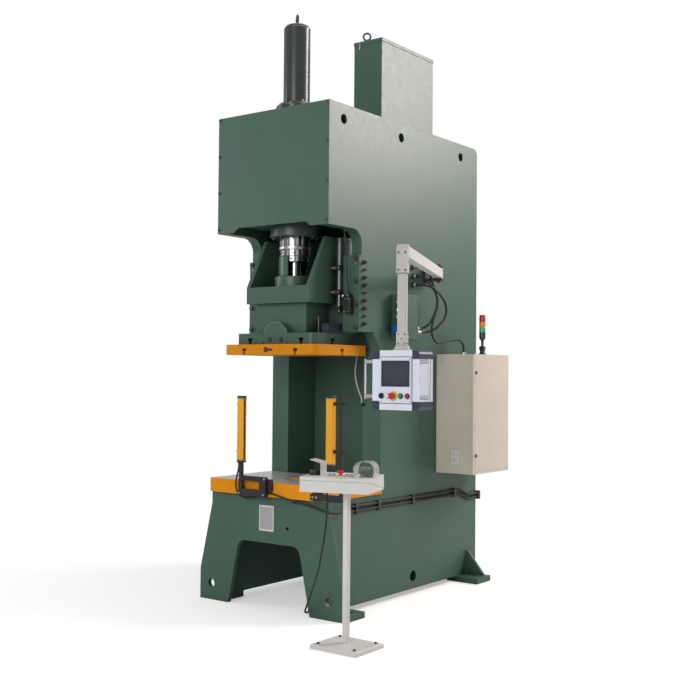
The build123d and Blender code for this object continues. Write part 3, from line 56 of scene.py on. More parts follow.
APRON_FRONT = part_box("base_apron")[0][1]
COVER_LOW, COVER_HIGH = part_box("front_cover")
BOLSTER_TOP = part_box("bolster")[1][2]
PLATE_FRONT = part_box("slide_plate")[0][1]
CLAMP_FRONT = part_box("shank_clamp")[0][1]
GIB_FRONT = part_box("front_gibs")[0][1]
SWITCH_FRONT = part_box("limit_switch")[0][1]
FLANGE_BLOCK_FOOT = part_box("flange_block")[0][2]
TAIL_LOW, TAIL_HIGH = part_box("cylinder_tail")
VALVE_LOW, VALVE_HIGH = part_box("valve_box_lid")
SCREEN_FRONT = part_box("touch_screen")[0][1]
DOOR_LOW, DOOR_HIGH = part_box("cabinet_door")
SHELL_LOW, SHELL_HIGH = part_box("cabinet_shell")
BOX_LOW, BOX_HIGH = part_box("junction_box")
PANEL_LOW, PANEL_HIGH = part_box("panel_corners")
FASCIA_LOW, FASCIA_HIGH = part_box("panel_front")
BRACKET_LOW, BRACKET_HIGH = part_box("arm_bracket")
SIDE_FACE, _, HEAD_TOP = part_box("side_plate_right")[1]
CYLINDER_LOW, CYLINDER_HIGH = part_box("main_cylinder")
RAM_AXIS = Vector((0, (CYLINDER_LOW[1] + CYLINDER_HIGH[1]) / 2, 0))

# Places known from the solids' source

FASCIA_FRONT = FASCIA_LOW[1] + 0.009
BUTTON_Z = 1.39
ARM_PIVOT = Vector((0.563, 0.258, 0))
ARM_TURN = atan2(-1.298, 0.559)
ARM_REACH = 1.4133
ELBOW_HALF = 0.032
ELBOW_LOW = 2.089
POST_AXIS = Vector((1.122, -1.04, 0))
GUSSET_Y = 0.814
GUSSET_T = 0.02
BOX_YAW = radians(18)
BOX_CENTRE = Vector((0.935, -1.35, 0))
BOX_TOP = 0.95
BUTTON_ROW = -0.03
PALM_PLACES = ((-0.148, "palm_left"), (0.148, "palm_right"))
TRIP_AXIS = (0.327, -0.585)
TRIP_ROD_RADIUS = 0.0113
DOG_HEIGHTS = (2.2, 2.041)

# The photograph's camera and the lamps: name, place, aim, size, power, colour

CAMERA_PLACE = (4.47, -6.092, 1.52)
CAMERA_AZIMUTH, CAMERA_ELEVATION, CAMERA_ROLL = radians(36.89), radians(-1.75), radians(0.48)
CAMERA_LENS, CAMERA_SENSOR = 56.25, 36.0
LAMPS = (("key", (1.6, -8.0, 3.6), (0.3, -0.8, 1.2), 3.5, 250, (1.0, 0.98, 0.95)),
         ("fill", (-6.4, -3.4, 3.8), (0, -0.6, 1.6), 2.2, 110, (0.93, 0.97, 1.0)),
         ("side glare", (5.0, 5.3, 5.6), (0.5, -0.4, 2.9), 3.0, 560, (1.0, 0.89, 0.84)),
         ("top", (0.5, 0.5, 7.5), (0.2, 0, 1.0), 4.0, 90, (1.0, 1.0, 1.0)))
WORLD_STRENGTH = 0.3
GLOSSY_SHARE = 0.35
FLOOR_LIFT = 0.42
FLOOR_FADE = (1.6, 3.6)

# Cord routes, the same points as in the solids' source, in millimetres

ROUTES = {
    "hose_upper": [
        (499, 70, 2187), (530, 70, 2187), (560, 78, 2175), (581, 96, 2151), (592, 120, 2122),
        (598, 158, 2083), (600, 179, 2050), (600, 184, 2011), (597, 180, 1970), (592, 164, 1931),
        (585, 149, 1898), (575, 137, 1871), (560, 124, 1850), (544, 105, 1834), (532, 79, 1826),
        (532, 47, 1826)],
    "hose_lower": [
        (499, 70, 2128), (530, 70, 2128), (562, 78, 2125), (590, 93, 2116), (612, 118, 2102),
        (624, 143, 2079), (628, 185, 2056), (629, 227, 2027), (629, 253, 1988), (628, 259, 1947),
        (625, 245, 1908), (620, 222, 1878), (614, 193, 1855), (606, 170, 1834), (591, 148, 1818),
        (573, 126, 1808), (557, 105, 1802), (548, 77, 1800), (548, 47, 1800)],
    "cabinet_cable": [
        (499, 70, 2252), (532, 70, 2252), (565, 84, 2240), (578, 110, 2213), (578, 136, 2176),
        (574, 172, 2126), (570, 211, 2080), (567, 243, 2038), (562, 250, 1988), (557, 236, 1941),
        (553, 213, 1898), (551, 194, 1853), (550, 190, 1807), (550, 208, 1765), (552, 242, 1737),
        (554, 286, 1729), (557, 331, 1737), (560, 375, 1748), (562, 422, 1754), (565, 478, 1758),
        (568, 520, 1760), (569, 554, 1753), (570, 582, 1735), (570, 598, 1708), (570, 598, 1678)],
    "curtain_cable": [
        (-200, -950, 934), (-200, -950, 904), (-209, -950, 868), (-221, -950, 832), (-228, -950, 794),
        (-225, -947, 756), (-210, -940, 723), (-178, -931, 707), (-130, -928, 706), (-84, -926, 716),
        (-38, -926, 733), (10, -926, 746), (56, -926, 746), (102, -926, 738), (148, -926, 729),
        (196, -924, 719), (246, -914, 709), (296, -903, 699), (348, -898, 688), (400, -898, 677),
        (448, -900, 666), (490, -900, 658), (524, -888, 655), (543, -860, 655), (545, -825, 657),
        (535, -790, 661), (516, -757, 665), (497, -724, 668), (481, -688, 670), (481, -640, 670)],
    "pedestal_cable": [
        (844, -1370, 866), (844, -1370, 800), (841, -1367, 728), (829, -1359, 652), (806, -1344, 580),
        (774, -1320, 513), (738, -1290, 450), (700, -1255, 390), (655, -1216, 336), (607, -1172, 290),
        (559, -1129, 245), (511, -1084, 200), (462, -1039, 156), (414, -993, 114), (365, -945, 74),
        (315, -897, 37), (274, -838, 9), (256, -777, 7), (264, -718, 10), (292, -672, 22), (335, -650, 32),
        (375, -650, 32)],
    "throat_hose": [
        (270, -300, 1680), (270, -300, 1642), (268, -308, 1600), (269, -320, 1557), (274, -329, 1514),
        (283, -333, 1470), (296, -333, 1426), (313, -332, 1386), (332, -332, 1352), (332, -332, 1318)],
    "switch_cable": [
        (422, -660, 2422), (422, -660, 2386), (425, -655, 2340), (428, -647, 2295), (428, -640, 2250),
        (424, -633, 2205), (417, -623, 2162), (409, -609, 2124), (403, -596, 2092), (403, -585, 2058),
        (403, -585, 2026)],
}

# Each cord's diameter and length in metres, its stiffness and its finish

CORDS = {
    "hose_upper": (0.016, 0.541, "limp", "rubber"),
    "hose_lower": (0.016, 0.649, "limp", "rubber"),
    "cabinet_cable": (0.014, 1.066, "limp", "rubber"),
    "curtain_cable": (0.011, 1.24, "limp", "rubber"),
    "pedestal_cable": (0.012, 1.502, "medium", "rubber"),
    "throat_hose": (0.01, 0.376, "medium", "pale_hose"),
    "switch_cable": (0.007, 0.408, "limp", "rubber"),
}


# Settings shown in the sidebar

def colour(name, description, value):
    """A colour property with a linear default."""
    return bpy.props.FloatVectorProperty(name=name, description=description, subtype="COLOR", size=3,
                                         min=0, max=1, default=value)


def length(name, description, value):
    """A distance property in metres."""
    return bpy.props.FloatProperty(name=name, description=description, unit="LENGTH", subtype="DISTANCE",
                                   default=value)


class PressColours(bpy.types.PropertyGroup):
    """Paints and plastics of the press"""
    frame_green: colour("Frame green", "Enamel of the frame and the head", (0.052, 0.112, 0.082))
    slide_green: colour("Slide green", "Enamel of the slide and its gibs", (0.052, 0.104, 0.076))
    yellow: colour("Table yellow", "Enamel of the bolster and the slide plate", (0.72, 0.265, 0.002))
    cabinet: colour("Cabinet cream", "Powder coat of the cabinet", (0.59, 0.545, 0.47))
    white: colour("Arm and pedestal white", "Powder coat of the arm and the pedestal", (0.63, 0.63, 0.615))
    panel: colour("Panel grey", "Plastic and aluminium of the operator panel", (0.68, 0.72, 0.83))
    navy: colour("Panel corner", "Dark corner pieces of the panel", (0.025, 0.032, 0.06))


class PressSizes(bpy.types.PropertyGroup):
    """Sizes of the added detail"""
    screw: length("Cover screw", "Radius of a cover screw head", 0.009)
    weld: length("Foot weld", "Radius of the weld beads on the feet", 0.004)
    edge: length("Edge rounding", "Radius of the enamelled edges", 0.0025)


# Materials

class Tree:
    """Short calls for one node tree."""

    def __init__(self, tree):
        """Keep the tree."""
        self.tree = tree

    def put(self, socket, value):
        """Link an output to the socket, or set the socket's own value."""
        if hasattr(value, "is_output"):
            self.tree.links.new(value, socket)
        else:
            socket.default_value = (*value[:3], 1.0) if socket.type == "RGBA" else value

    def add(self, kind, links=(), **values):
        """Add a node, set its properties, then link or set its inputs."""
        node = self.tree.nodes.new(kind)
        for key, value in values.items():
            setattr(node, key, value)
        for name, value in dict(links).items():
            self.put(node.inputs[name], value)
        return node

    def ramp(self, value, low, high, out_low=0.0, out_high=1.0):
        """Value between low and high mapped to an output range."""
        links = {"Value": value, "From Min": low, "From Max": high, "To Min": out_low, "To Max": out_high}
        return self.add("ShaderNodeMapRange", links).outputs["Result"]

    def math(self, kind, a, b):
        """One arithmetic step."""
        return self.add("ShaderNodeMath", {0: a, 1: b}, operation=kind).outputs["Value"]

    def times(self, a, b):
        """Product of two values."""
        return self.math("MULTIPLY", a, b)

    def mix(self, factor, a, b):
        """Mix two colours."""
        node = self.add("ShaderNodeMix", data_type="RGBA", blend_type="MIX")
        used = [s for s in node.inputs if s.enabled and s.type in ("RGBA", "VALUE")]
        for name, value in {"Factor": factor, "A": a, "B": b}.items():
            self.put([s for s in used if s.name == name][0], value)
        return [s for s in node.outputs if s.enabled][0]

    def blend(self, factor, a, b):
        """Mix two shaders."""
        return self.add("ShaderNodeMixShader", {0: factor, 1: a, 2: b}).outputs[0]


class Nodes(Tree):
    """A new material with its shader and object coordinates."""

    def __init__(self, name):
        """Start the material."""
        self.mat = bpy.data.materials.new(name)
        self.mat.use_nodes = True
        super().__init__(self.mat.node_tree)
        self.shader = self.tree.nodes["Principled BSDF"]
        self.place = self.add("ShaderNodeTexCoord").outputs["Object"]

    def give(self, name, value):
        """Fill one of the shader's sockets."""
        self.put(self.shader.inputs[name], value)

    def noise(self, scale, detail=2.0, rough=0.5, stretch=None):
        """Noise over the object, stretched where a scale is given."""
        place = self.place
        if stretch:
            place = self.add("ShaderNodeMapping", {"Vector": place, "Scale": stretch}).outputs["Vector"]
        links = {"Vector": place, "Scale": scale, "Detail": detail, "Roughness": rough}
        return self.add("ShaderNodeTexNoise", links).outputs["Fac"]

    def cloud(self, scale, detail, rough, low=0.3, high=0.7, out_low=0.0, out_high=1.0, stretch=None):
        """Noise whose values between low and high are mapped to an output range."""
        return self.ramp(self.noise(scale, detail, rough, stretch), low, high, out_low, out_high)

    def stain(self, tone, mask, share, over):
        """Lay another colour over the tone, by the mask and a share."""
        return self.mix(self.times(mask, share), tone, over)

    def mottle(self, base, scale, detail, rough, dark, light):
        """The base colour in darker and lighter patches."""
        return self.mix(self.cloud(scale, detail, rough), shade(base, dark), shade(base, light))

    def facing(self):
        """The surface's normal."""
        return self.add("ShaderNodeNewGeometry").outputs["Normal"]

    def part(self, vector, axis_name):
        """One component of a vector."""
        return self.add("ShaderNodeSeparateXYZ", {0: vector}).outputs[axis_name]

    def edge_mask(self, radius):
        """White along the solid's edges."""
        soft = self.add("ShaderNodeBevel", {"Radius": radius}, samples=6).outputs["Normal"]
        dot = self.add("ShaderNodeVectorMath", {0: soft, 1: self.facing()}, operation="DOT_PRODUCT")
        return self.ramp(dot.outputs["Value"], 0.98, 0.72)

    def surface(self, base, metallic=0.0, rough=0.4, bump=None, strength=0.1, distance=0.001, round_edge=0.0):
        """Fill the shader's main sockets, its rounded edges and its bump."""
        self.give("Base Color", base)
        self.give("Metallic", metallic)
        self.give("Roughness", rough)
        normal = {}
        if round_edge:
            normal["Normal"] = self.add("ShaderNodeBevel", {"Radius": round_edge}, samples=4).outputs["Normal"]
        if bump is not None:
            links = {"Height": bump, "Strength": strength, "Distance": distance, **normal}
            normal["Normal"] = self.add("ShaderNodeBump", links).outputs["Normal"]
        for name, value in normal.items():
            self.give(name, value)
        return self.mat


def shade(base, factor, more=0.0):
    """A colour made darker or lighter."""
    return [min(1.0, c * factor + more) for c in base]


def enamel(name, base, rough=0.36, edge=None, dust=0.12, peel=0.25, dark=0.0, sheen=0.4):
    """Sprayed enamel: orange peel, faint mottling, dust on upward faces and worn edges; where dark is set,
    painted shade darkens crevices, corners and recesses.
    """
    n = Nodes(name)
    if edge is None:
        edge = bpy.context.scene.press_sizes.edge
    tone = n.mottle(base, 2.3, 5.0, 0.6, 0.95, 1.05)
    streak = n.cloud(1.0, 3.0, 0.55, 0.42, 0.75, stretch=(7.0, 7.0, 0.55))
    tone = n.stain(tone, streak, 0.14, shade(base, 1.2, 0.01))
    lying = n.times(n.ramp(n.part(n.facing(), "Z"), 0.5, 0.95), n.cloud(11.0, 4.0, 0.6, 0.35, 0.75))
    tone = n.stain(tone, lying, dust, (0.42, 0.4, 0.37))
    chips = n.times(n.edge_mask(edge * 1.2), n.cloud(38.0, 4.0, 0.7, 0.52, 0.66))
    tone = n.stain(tone, chips, 0.55, shade(base, 1.7, 0.05))
    gloss = n.cloud(26.0, 5.0, 0.65, 0.3, 0.7, rough - 0.03, rough + 0.03)
    n.give("Specular IOR Level", n.cloud(85.0, 3.0, 0.6, 0.3, 0.7, sheen * 0.84, sheen * 1.16))
    # Painted shade: within the dark distance the colour falls towards 0.22 of the base in crevices, corners
    # and recesses, by ambient occlusion.
    if dark:
        near = n.add("ShaderNodeAmbientOcclusion", {"Distance": dark}, samples=6).outputs["AO"]
        tone = n.mix(n.ramp(near, 0.12, 0.6), shade(base, 0.22), tone)
    return n.surface(tone, 0.0, gloss, n.times(n.noise(420.0), peel), 0.22, 0.0012, edge)


def powder(name, base, rough=0.5, edge=0.0015, grain=700.0):
    """Powder coat: fine even texture with faint handling marks."""
    n = Nodes(name)
    tone = n.mottle(base, 3.0, 4.0, 0.6, 0.94, 1.05)
    tone = n.stain(tone, n.cloud(14.0, 6.0, 0.75, 0.62, 0.75), 0.16, shade(base, 0.62))
    gloss = n.cloud(8.0, 3.0, 0.5, 0.3, 0.7, rough - 0.05, rough + 0.07)
    return n.surface(tone, 0.0, gloss, n.noise(grain), 0.18, 0.0006, edge)


def steel(name, base, rough=0.24, scale=120.0, stretch=(1.0, 1.0, 1.0)):
    """Bare machined steel with fine tool marks, darkened in patches."""
    n = Nodes(name)
    lines = n.noise(scale, 6.0, 0.7, stretch)
    tone = n.mix(n.ramp(lines, 0.25, 0.75), shade(base, 0.72), base)
    tone = n.stain(tone, n.cloud(5.0, 5.0, 0.7, 0.52, 0.72), 0.28, (0.2, 0.19, 0.18))
    return n.surface(tone, 1.0, n.ramp(lines, 0.3, 0.7, rough - 0.06, rough + 0.1), lines, 0.12, 0.0004, 0.001)


def plastic(name, base, rough=0.4, grain=900.0, edge=0.0008, strength=0.12):
    """Moulded plastic with fine spark texture."""
    n = Nodes(name)
    tone = n.mottle(base, 9.0, 3.0, 0.5, 0.92, 1.05)
    gloss = n.cloud(40.0, 3.0, 0.5, 0.3, 0.7, rough - 0.04, rough + 0.06)
    return n.surface(tone, 0.0, gloss, n.noise(grain), strength, 0.0004, edge)


def rubber(name, base=(0.009, 0.01, 0.01), rough=0.58):
    """Extruded rubber or cable sheath with faint dust."""
    n = Nodes(name)
    tone = n.stain(base, n.cloud(30.0, 4.0, 0.65, 0.5, 0.8), 0.1, (0.1, 0.1, 0.095))
    gloss = n.cloud(60.0, 2.0, 0.5, 0.3, 0.7, rough - 0.08, rough + 0.1)
    return n.surface(tone, 0.0, gloss, n.noise(260.0), 0.15, 0.0006)


def chrome(name, dark=(0.025, 0.028, 0.028), bright=(0.62, 0.64, 0.65), rough=0.16):
    """Ground hard chrome whose colour carries painted reflections: upright streaks, lighter and darker by the
    way the surface faces.
    """
    n = Nodes(name)
    # Painted reflection: the base colour goes from dark to bright by the level direction of the normal,
    # standing for the surroundings mirrored in the rod.
    painted_reflection_facing = n.add("ShaderNodeMapping", {"Vector": n.facing(), "Scale": (1.0, 1.0, 0.0)}).outputs["Vector"]
    bands = n.add("ShaderNodeTexNoise", {"Vector": painted_reflection_facing, "Scale": 4.6, "Detail": 2.0, "Roughness": 0.6})
    tone = n.mix(n.ramp(bands.outputs["Fac"], 0.42, 0.62), dark, bright)
    rings = n.noise(12.0, 6.0, 0.7, (1.0, 1.0, 45.0))
    tone = n.mix(n.ramp(rings, 0.55, 0.8, 0.0, 0.25), tone, dark)
    gloss = n.ramp(rings, 0.3, 0.7, rough - 0.02, rough + 0.05)
    return n.surface(tone, 0.9, gloss, rings, 0.02, 0.0002, 0.001)


def two_finishes(name, one, other, metal, rough, test):
    """One colour where the test is true and another elsewhere, on a fine powder texture."""
    n = Nodes(name)
    mask = test(n, n.part(n.place, "X"), n.part(n.place, "Y"))
    grain = n.cloud(60.0, 4.0, 0.6, 0.3, 0.7, 0.86, 1.1)
    tone = n.mix(mask, other, one)
    tone = n.add("ShaderNodeVectorMath", {0: tone, 3: grain}, operation="SCALE").outputs["Vector"]
    gloss = n.ramp(mask, 0.0, 1.0, 0.42, rough)
    n.surface(tone, n.times(mask, metal), gloss, n.noise(500.0), 0.12, 0.0005, 0.001)
    return n, mask


def in_trip_rod(n, x, y):
    """True inside the trip rod's radius."""
    off = [n.math("POWER", n.math("SUBTRACT", a, b), 2.0) for a, b in zip((x, y), TRIP_AXIS)]
    return n.math("LESS_THAN", n.math("ADD", *off), TRIP_ROD_RADIUS ** 2)


def right_of_box(n, x, y):
    """True right of the pedestal box's centre."""
    return n.math("GREATER_THAN", x, BOX_CENTRE.x)


def bolster_finish(name, base, top):
    """Yellow enamel sides and a ground top face with its coolant stains."""
    n = Nodes(name)
    face = n.times(n.ramp(n.part(n.place, "Z"), top - 0.0012, top - 0.0006),
                   n.ramp(n.part(n.facing(), "Z"), 0.6, 0.9))
    paint = n.mottle(base, 2.6, 5.0, 0.6, 0.92, 1.06)
    scuff = n.cloud(17.0, 6.0, 0.75, 0.6, 0.72, stretch=(0.6, 1.0, 2.2))
    paint = n.stain(paint, scuff, 0.3, shade(base, 0.45))
    chips = n.times(n.edge_mask(0.003), n.cloud(45.0, 4.0, 0.7, 0.5, 0.62))
    paint = n.stain(paint, chips, 0.7, (0.16, 0.14, 0.12))
    lines = n.noise(9.0, 6.0, 0.7, (60.0, 1.0, 1.0))
    bare = n.mix(n.ramp(lines, 0.25, 0.75), (0.8, 0.8, 0.8), (0.93, 0.93, 0.92))
    bare = n.stain(bare, n.cloud(4.0, 5.0, 0.65, 0.5, 0.7), 0.35, (0.24, 0.22, 0.2))
    gloss = n.math("SUBTRACT", n.ramp(lines, 0.3, 0.7, 0.36, 0.44), n.times(face, 0.16))
    n.give("Specular IOR Level", 0.2)
    return n.surface(n.mix(face, paint, bare), n.times(face, 0.55), gloss, n.noise(420.0), 0.1, 0.0006, 0.0025)


def banded(name, bands, rough=0.25):
    """Coloured bands by height; each band is (top, colour)."""
    n = Nodes(name)
    z = n.part(n.place, "Z")
    tone = bands[0][1]
    for (last_top, _), (_, tint) in zip(bands, bands[1:]):
        tone = n.mix(n.math("GREATER_THAN", z, last_top), tone, tint)
    ribs = n.add("ShaderNodeTexWave", {"Vector": n.place, "Scale": 95.0, "Detail": 0.0}, bands_direction="Z")
    n.give("Coat Weight", 0.6)
    return n.surface(tone, 0.0, rough, ribs.outputs["Fac"], 0.35, 0.0006)


def see_through(mat, share, ior):
    """Let light through a material's shader."""
    shader = mat.node_tree.nodes["Principled BSDF"]
    if hasattr(share, "is_output"):
        mat.node_tree.links.new(share, shader.inputs["Transmission Weight"])
    else:
        shader.inputs["Transmission Weight"].default_value = share
    shader.inputs["IOR"].default_value = ior


MATERIALS = {}


def make_materials(tint):
    """Every finish of the press."""
    along_z = (1.0, 1.0, 60.0)
    MATERIALS.update({
        # Painted shade: dark darkens the crevices, corners and recesses of the frame, the slide and the
        # cylinder.
        "frame": enamel("frame enamel", tint.frame_green, 0.4, dark=0.16),
        "slide": enamel("slide enamel", tint.slide_green, 0.36, dark=0.16),
        # Painted shade: the cylinder's enamel is the frame green made darker and greyer, as it stands in the
        # head's shade.
        "cylinder": enamel("cylinder enamel", (0.04, 0.062, 0.054), 0.36, dark=0.05),
        # Painted shade: the slide plate's yellow is the table yellow at 0.84, as the head shades it; dark adds
        # painted shade in its T-slots and recesses.
        "yellow": enamel("yellow enamel", shade(tint.yellow, 0.84), 0.4, dust=0.06, dark=0.022, sheen=0.2),
        "bolster": bolster_finish("bolster enamel and ground top", tint.yellow, BOLSTER_TOP),
        "bore_steel": chrome("ground chrome"),
        "ground": steel("ground steel", (0.52, 0.53, 0.54), 0.26, 14.0, along_z),
        "dark_steel": steel("blackened steel", (0.1, 0.1, 0.105), 0.42, 90.0),
        "plated": steel("plated steel", (0.62, 0.62, 0.6), 0.28),
        "dark_plate": steel("darkened lock", (0.11, 0.11, 0.11), 0.46),
        "tail": enamel("tail tube enamel", (0.036, 0.043, 0.04), 0.24, 0.002),
        "black": powder("black powder coat", (0.012, 0.012, 0.014), 0.42),
        "cabinet": powder("cabinet powder coat", tint.cabinet, 0.48, 0.002, 420.0),
        "white": powder("white powder coat", tint.white, 0.5),
        "curtain": powder("curtain yellow", (0.8, 0.36, 0.006), 0.38),
        "panel": powder("panel grey", tint.panel, 0.42),
        "navy": plastic("panel corner plastic", tint.navy, 0.38),
        "handle": steel("anodised bar", (0.66, 0.68, 0.72), 0.34, 30.0, (1.0, 1.0, 30.0)),
        "screen": plastic("screen bezel", (0.02, 0.026, 0.042), 0.3),
        "glass": plastic("screen glass", (0.034, 0.043, 0.062), 0.14, 300.0, 0.0005, 0.02),
        "rubber": rubber("hose rubber"),
        "pale_hose": plastic("pale tube", (0.42, 0.44, 0.42), 0.34),
        "black_plastic": plastic("black plastic", (0.014, 0.014, 0.016), 0.34),
        "red": plastic("red plastic", (0.58, 0.012, 0.014), 0.26),
        "green": plastic("green plastic", (0.01, 0.3, 0.075), 0.26),
        "green_cap": plastic("green end cap", (0.02, 0.2, 0.08), 0.36),
        "blue": plastic("blue plastic", (0.008, 0.07, 0.26), 0.34),
        "yellow_plastic": plastic("yellow plastic", (0.7, 0.6, 0.09), 0.34),
        # Painted shade: the post's coat is the arm and pedestal white darkened to 0.76.
        "post": powder("post coat with painted shade", shade(tint.white, 0.76), 0.52),
        # Dark groove plastic: dark joints on the seams, and painted shade in the rod's grooves and pits.
        "groove": plastic("dark groove", (0.01, 0.014, 0.013), 0.5),
        "lamp": plastic("milky lens", (0.8, 0.8, 0.78), 0.22),
        "devices": banded("device fronts", [(1.05, (0.16, 0.17, 0.18)), (1.3, (0.42, 0.43, 0.44)),
                                            (1.7, (0.08, 0.22, 0.12))], 0.45),
        "beacon": banded("beacon lenses", [(1.816, (0.014, 0.014, 0.016)), (1.854, (0.005, 0.42, 0.16)),
                                           (1.892, (0.85, 0.2, 0.008)), (1.93, (0.52, 0.006, 0.018)),
                                           (2.0, (0.4, 0.005, 0.014))]),
        "label": powder("bare plate", (0.62, 0.63, 0.65), 0.4, 0.0004),
        "plate_field": powder("plate field", (0.36, 0.37, 0.4), 0.36, 0.0003),
        "bright": steel("bright crimped steel", (0.86, 0.86, 0.84), 0.16),
        "window": plastic("curtain window", (0.055, 0.006, 0.01), 0.12, 300.0, 0.0003, 0.03),
        "white_bead": powder("white weld bead", tint.white, 0.5),
        "clear": plastic("clear hood", (0.92, 0.94, 0.94), 0.06, 300.0, 0.0005, 0.01),
        "bead": enamel("weld bead enamel", tint.frame_green, 0.4, 0.0, 0.05, 0.9),
    })
    n, _ = two_finishes("chrome rod and black dogs", (0.22, 0.23, 0.24), (0.012, 0.012, 0.014), 1.0, 0.46,
                        in_trip_rod)
    MATERIALS["trip"] = n.mat
    n, right = two_finishes("white guard and clear hood", (0.8, 0.82, 0.82), tint.white, 0.0, 0.1,
                            right_of_box)
    MATERIALS["guards"] = n.mat
    see_through(n.mat, n.times(right, 0.72), 1.2)
    see_through(MATERIALS["clear"], 0.96, 1.15)


# The finish of each carried-over solid

NODE_FINISH = {
    "frame": ["side_plate_left", "side_plate_right", "throat_plates", "top_rear_plate", "cylinder_plate",
              "front_cover", "base_apron", "anchor_feet", "valve_box", "valve_box_lid", "junction_box"],
    "cylinder": ["main_cylinder"],
    "tail": ["cylinder_tail"],
    "slide": ["slide_body", "front_gibs", "shank_clamp", "coupling_cup"],
    "yellow": ["slide_plate"],
    "bolster": ["bolster"],
    "bore_steel": ["piston_rod", "lock_ring"],
    "ground": ["gib_bars"],
    "trip": ["trip_rod"],
    "dark_steel": ["gib_bolts", "cable_fittings"],
    "black": ["arm_bracket", "curtain_brackets", "limit_switch"],
    "dark_plate": ["lock_upper", "lock_lower"],
    "cabinet": ["cabinet_shell", "cabinet_door"],
    "devices": ["cabinet_devices"],
    "white": ["pedestal_stand", "pedestal_box", "pedestal_lid", "arm_tube"],
    "post": ["arm_post"],
    "guards": ["palm_guards"],
    "curtain": ["light_curtains"],
    "beacon": ["stack_light"],
    "rubber": ["side_conduits"],
    "panel": ["panel_housing", "panel_front"],
    "navy": ["panel_corners", "flange_block"],
    "handle": ["panel_handles"],
    "screen": ["touch_screen"],
    "black_plastic": ["selector_knob", "palm_button_left", "palm_button_right"],
    "red": ["panel_estop", "stop_button", "pedestal_estop"],
    "green": ["start_button"],
}


def dress_nodes():
    """Give every carried-over solid its finish."""
    for finish, names in NODE_FINISH.items():
        for name in names:
            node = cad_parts[name]
            if not node.data.materials:
                node.data.materials.append(None)
            for index in range(len(node.data.materials)):
                node.data.materials[index] = MATERIALS[finish]


# Modelling helpers

def up(z):
    """Vector straight up."""
    return Vector((0, 0, z))


def heading(angle):
    """Level direction at an angle from +X."""
    return Vector((cos(angle), sin(angle), 0))


def only(obj):
    """Select one object alone and make it active."""
    bpy.ops.object.select_all(action="DESELECT")
    obj.select_set(True)
    bpy.context.view_layer.objects.active = obj


def primitive(kind, name, turn=(0, 0, 0), scale=(1, 1, 1), at=(0, 0, 0), **values):
    """Add a primitive, turned and scaled at its place, with the place kept in its mesh."""
    bpy.ops.object.select_all(action="DESELECT")
    getattr(bpy.ops.mesh, f"primitive_{kind}_add")(location=at, rotation=turn, **values)
    obj = bpy.context.object
    obj.name = name
    obj.scale = scale
    bpy.ops.object.transform_apply(location=True, rotation=True, scale=True)
    return obj


def begin(obj, mode="FACE"):
    """Enter edit mode with nothing selected."""
    only(obj)
    bpy.ops.object.mode_set(mode="EDIT")
    bpy.ops.mesh.select_mode(type=mode)
    bpy.ops.mesh.select_all(action="DESELECT")


def pick(obj, test):
    """Select the faces whose centre and normal pass the test."""
    mesh = bmesh.from_edit_mesh(obj.data)
    for face in mesh.faces:
        face.select_set(test(face.calc_center_median(), face.normal))
    mesh.select_flush_mode()
    bmesh.update_edit_mesh(obj.data)


def end():
    """Back to object mode."""
    bpy.ops.object.mode_set(mode="OBJECT")


AIM = {"+Z": (0, 0, 1), "-Z": (0, 0, -1), "+X": (1, 0, 0), "-Y": (0, -1, 0), "+Y": (0, 1, 0)}


def axis(aim):
    """Direction of a named or a free aim."""
    return Vector(AIM[aim] if isinstance(aim, str) else aim).normalized()


def turned(aim):
    """Turn that brings +Z to the aim."""
    return axis(aim).to_track_quat("Z", "Y").to_euler()


def toward(aim, limit=0.9):
    """Test for the faces that look along the aim."""
    way = axis(aim)
    return lambda c, n: n.dot(way) > limit


def top_face(aim, at, height):
    """Test for the face at the far end of a disc."""
    way = axis(aim)
    level = Vector(at).dot(way) + height
    return lambda c, n: n.dot(way) > 0.9 and abs(c.dot(way) - level) < 1e-5


def inset(thickness):
    """Inset the selected faces."""
    bpy.ops.mesh.inset(thickness=thickness)


def shift(way):
    """Move the selected faces."""
    bpy.ops.transform.translate(value=way)


def sink(way):
    """Extrude the selected faces."""
    bpy.ops.mesh.extrude_region_move(TRANSFORM_OT_translate={"value": way})


def widen(scale):
    """Scale the selected faces."""
    bpy.ops.transform.resize(value=scale)


def worked(obj, test, *steps):
    """Select faces by the test, then take each step: a function above with its value."""
    begin(obj)
    pick(obj, test)
    for step, value in steps:
        step(value)
    end()
    return obj


def soften(obj, offset, segments=2, test=lambda c, n: True):
    """Round the edges of the faces that pass the test."""
    begin(obj)
    pick(obj, test)
    bpy.ops.mesh.bevel(offset=offset, segments=segments, affect="EDGES")
    end()
    return obj


def cube(name, at, size, yaw=0.0):
    """Sharp box about its centre, turned about the upright."""
    return primitive("cube", name, (0, 0, yaw), size, at, size=1)


def block(name, corner, other, bevel=0.001, segments=2):
    """Box between two corners with rounded edges."""
    middle = [(a + b) / 2 for a, b in zip(corner, other)]
    return soften(cube(name, middle, [abs(b - a) for a, b in zip(corner, other)]), bevel, segments)


def plate(name, low, high, face, border, depth, bevel=0.001):
    """Thin plate whose chosen face carries a raised or sunk field."""
    return worked(block(name, low, high, bevel), toward(face, 0.99), (inset, border),
                  (inset, abs(depth) * 0.6), (shift, axis(face) * depth))


def disc(name, at, aim, radius, height, sides=24):
    """Cylinder that stands on a point and rises along its aim."""
    middle = Vector(at) + axis(aim) * height / 2
    return primitive("cylinder", name, turned(aim), at=middle, vertices=sides, radius=radius, depth=height)


def socket_screw(name, at, aim, radius, height):
    """Cap screw: rounded rim and a sunk socket."""
    way = axis(aim)
    return worked(disc(name, at, aim, radius, height, 18), top_face(aim, at, height), (inset, radius * 0.12),
                  (shift, way * height * 0.12), (inset, radius * 0.38), (sink, way * -height * 0.5))


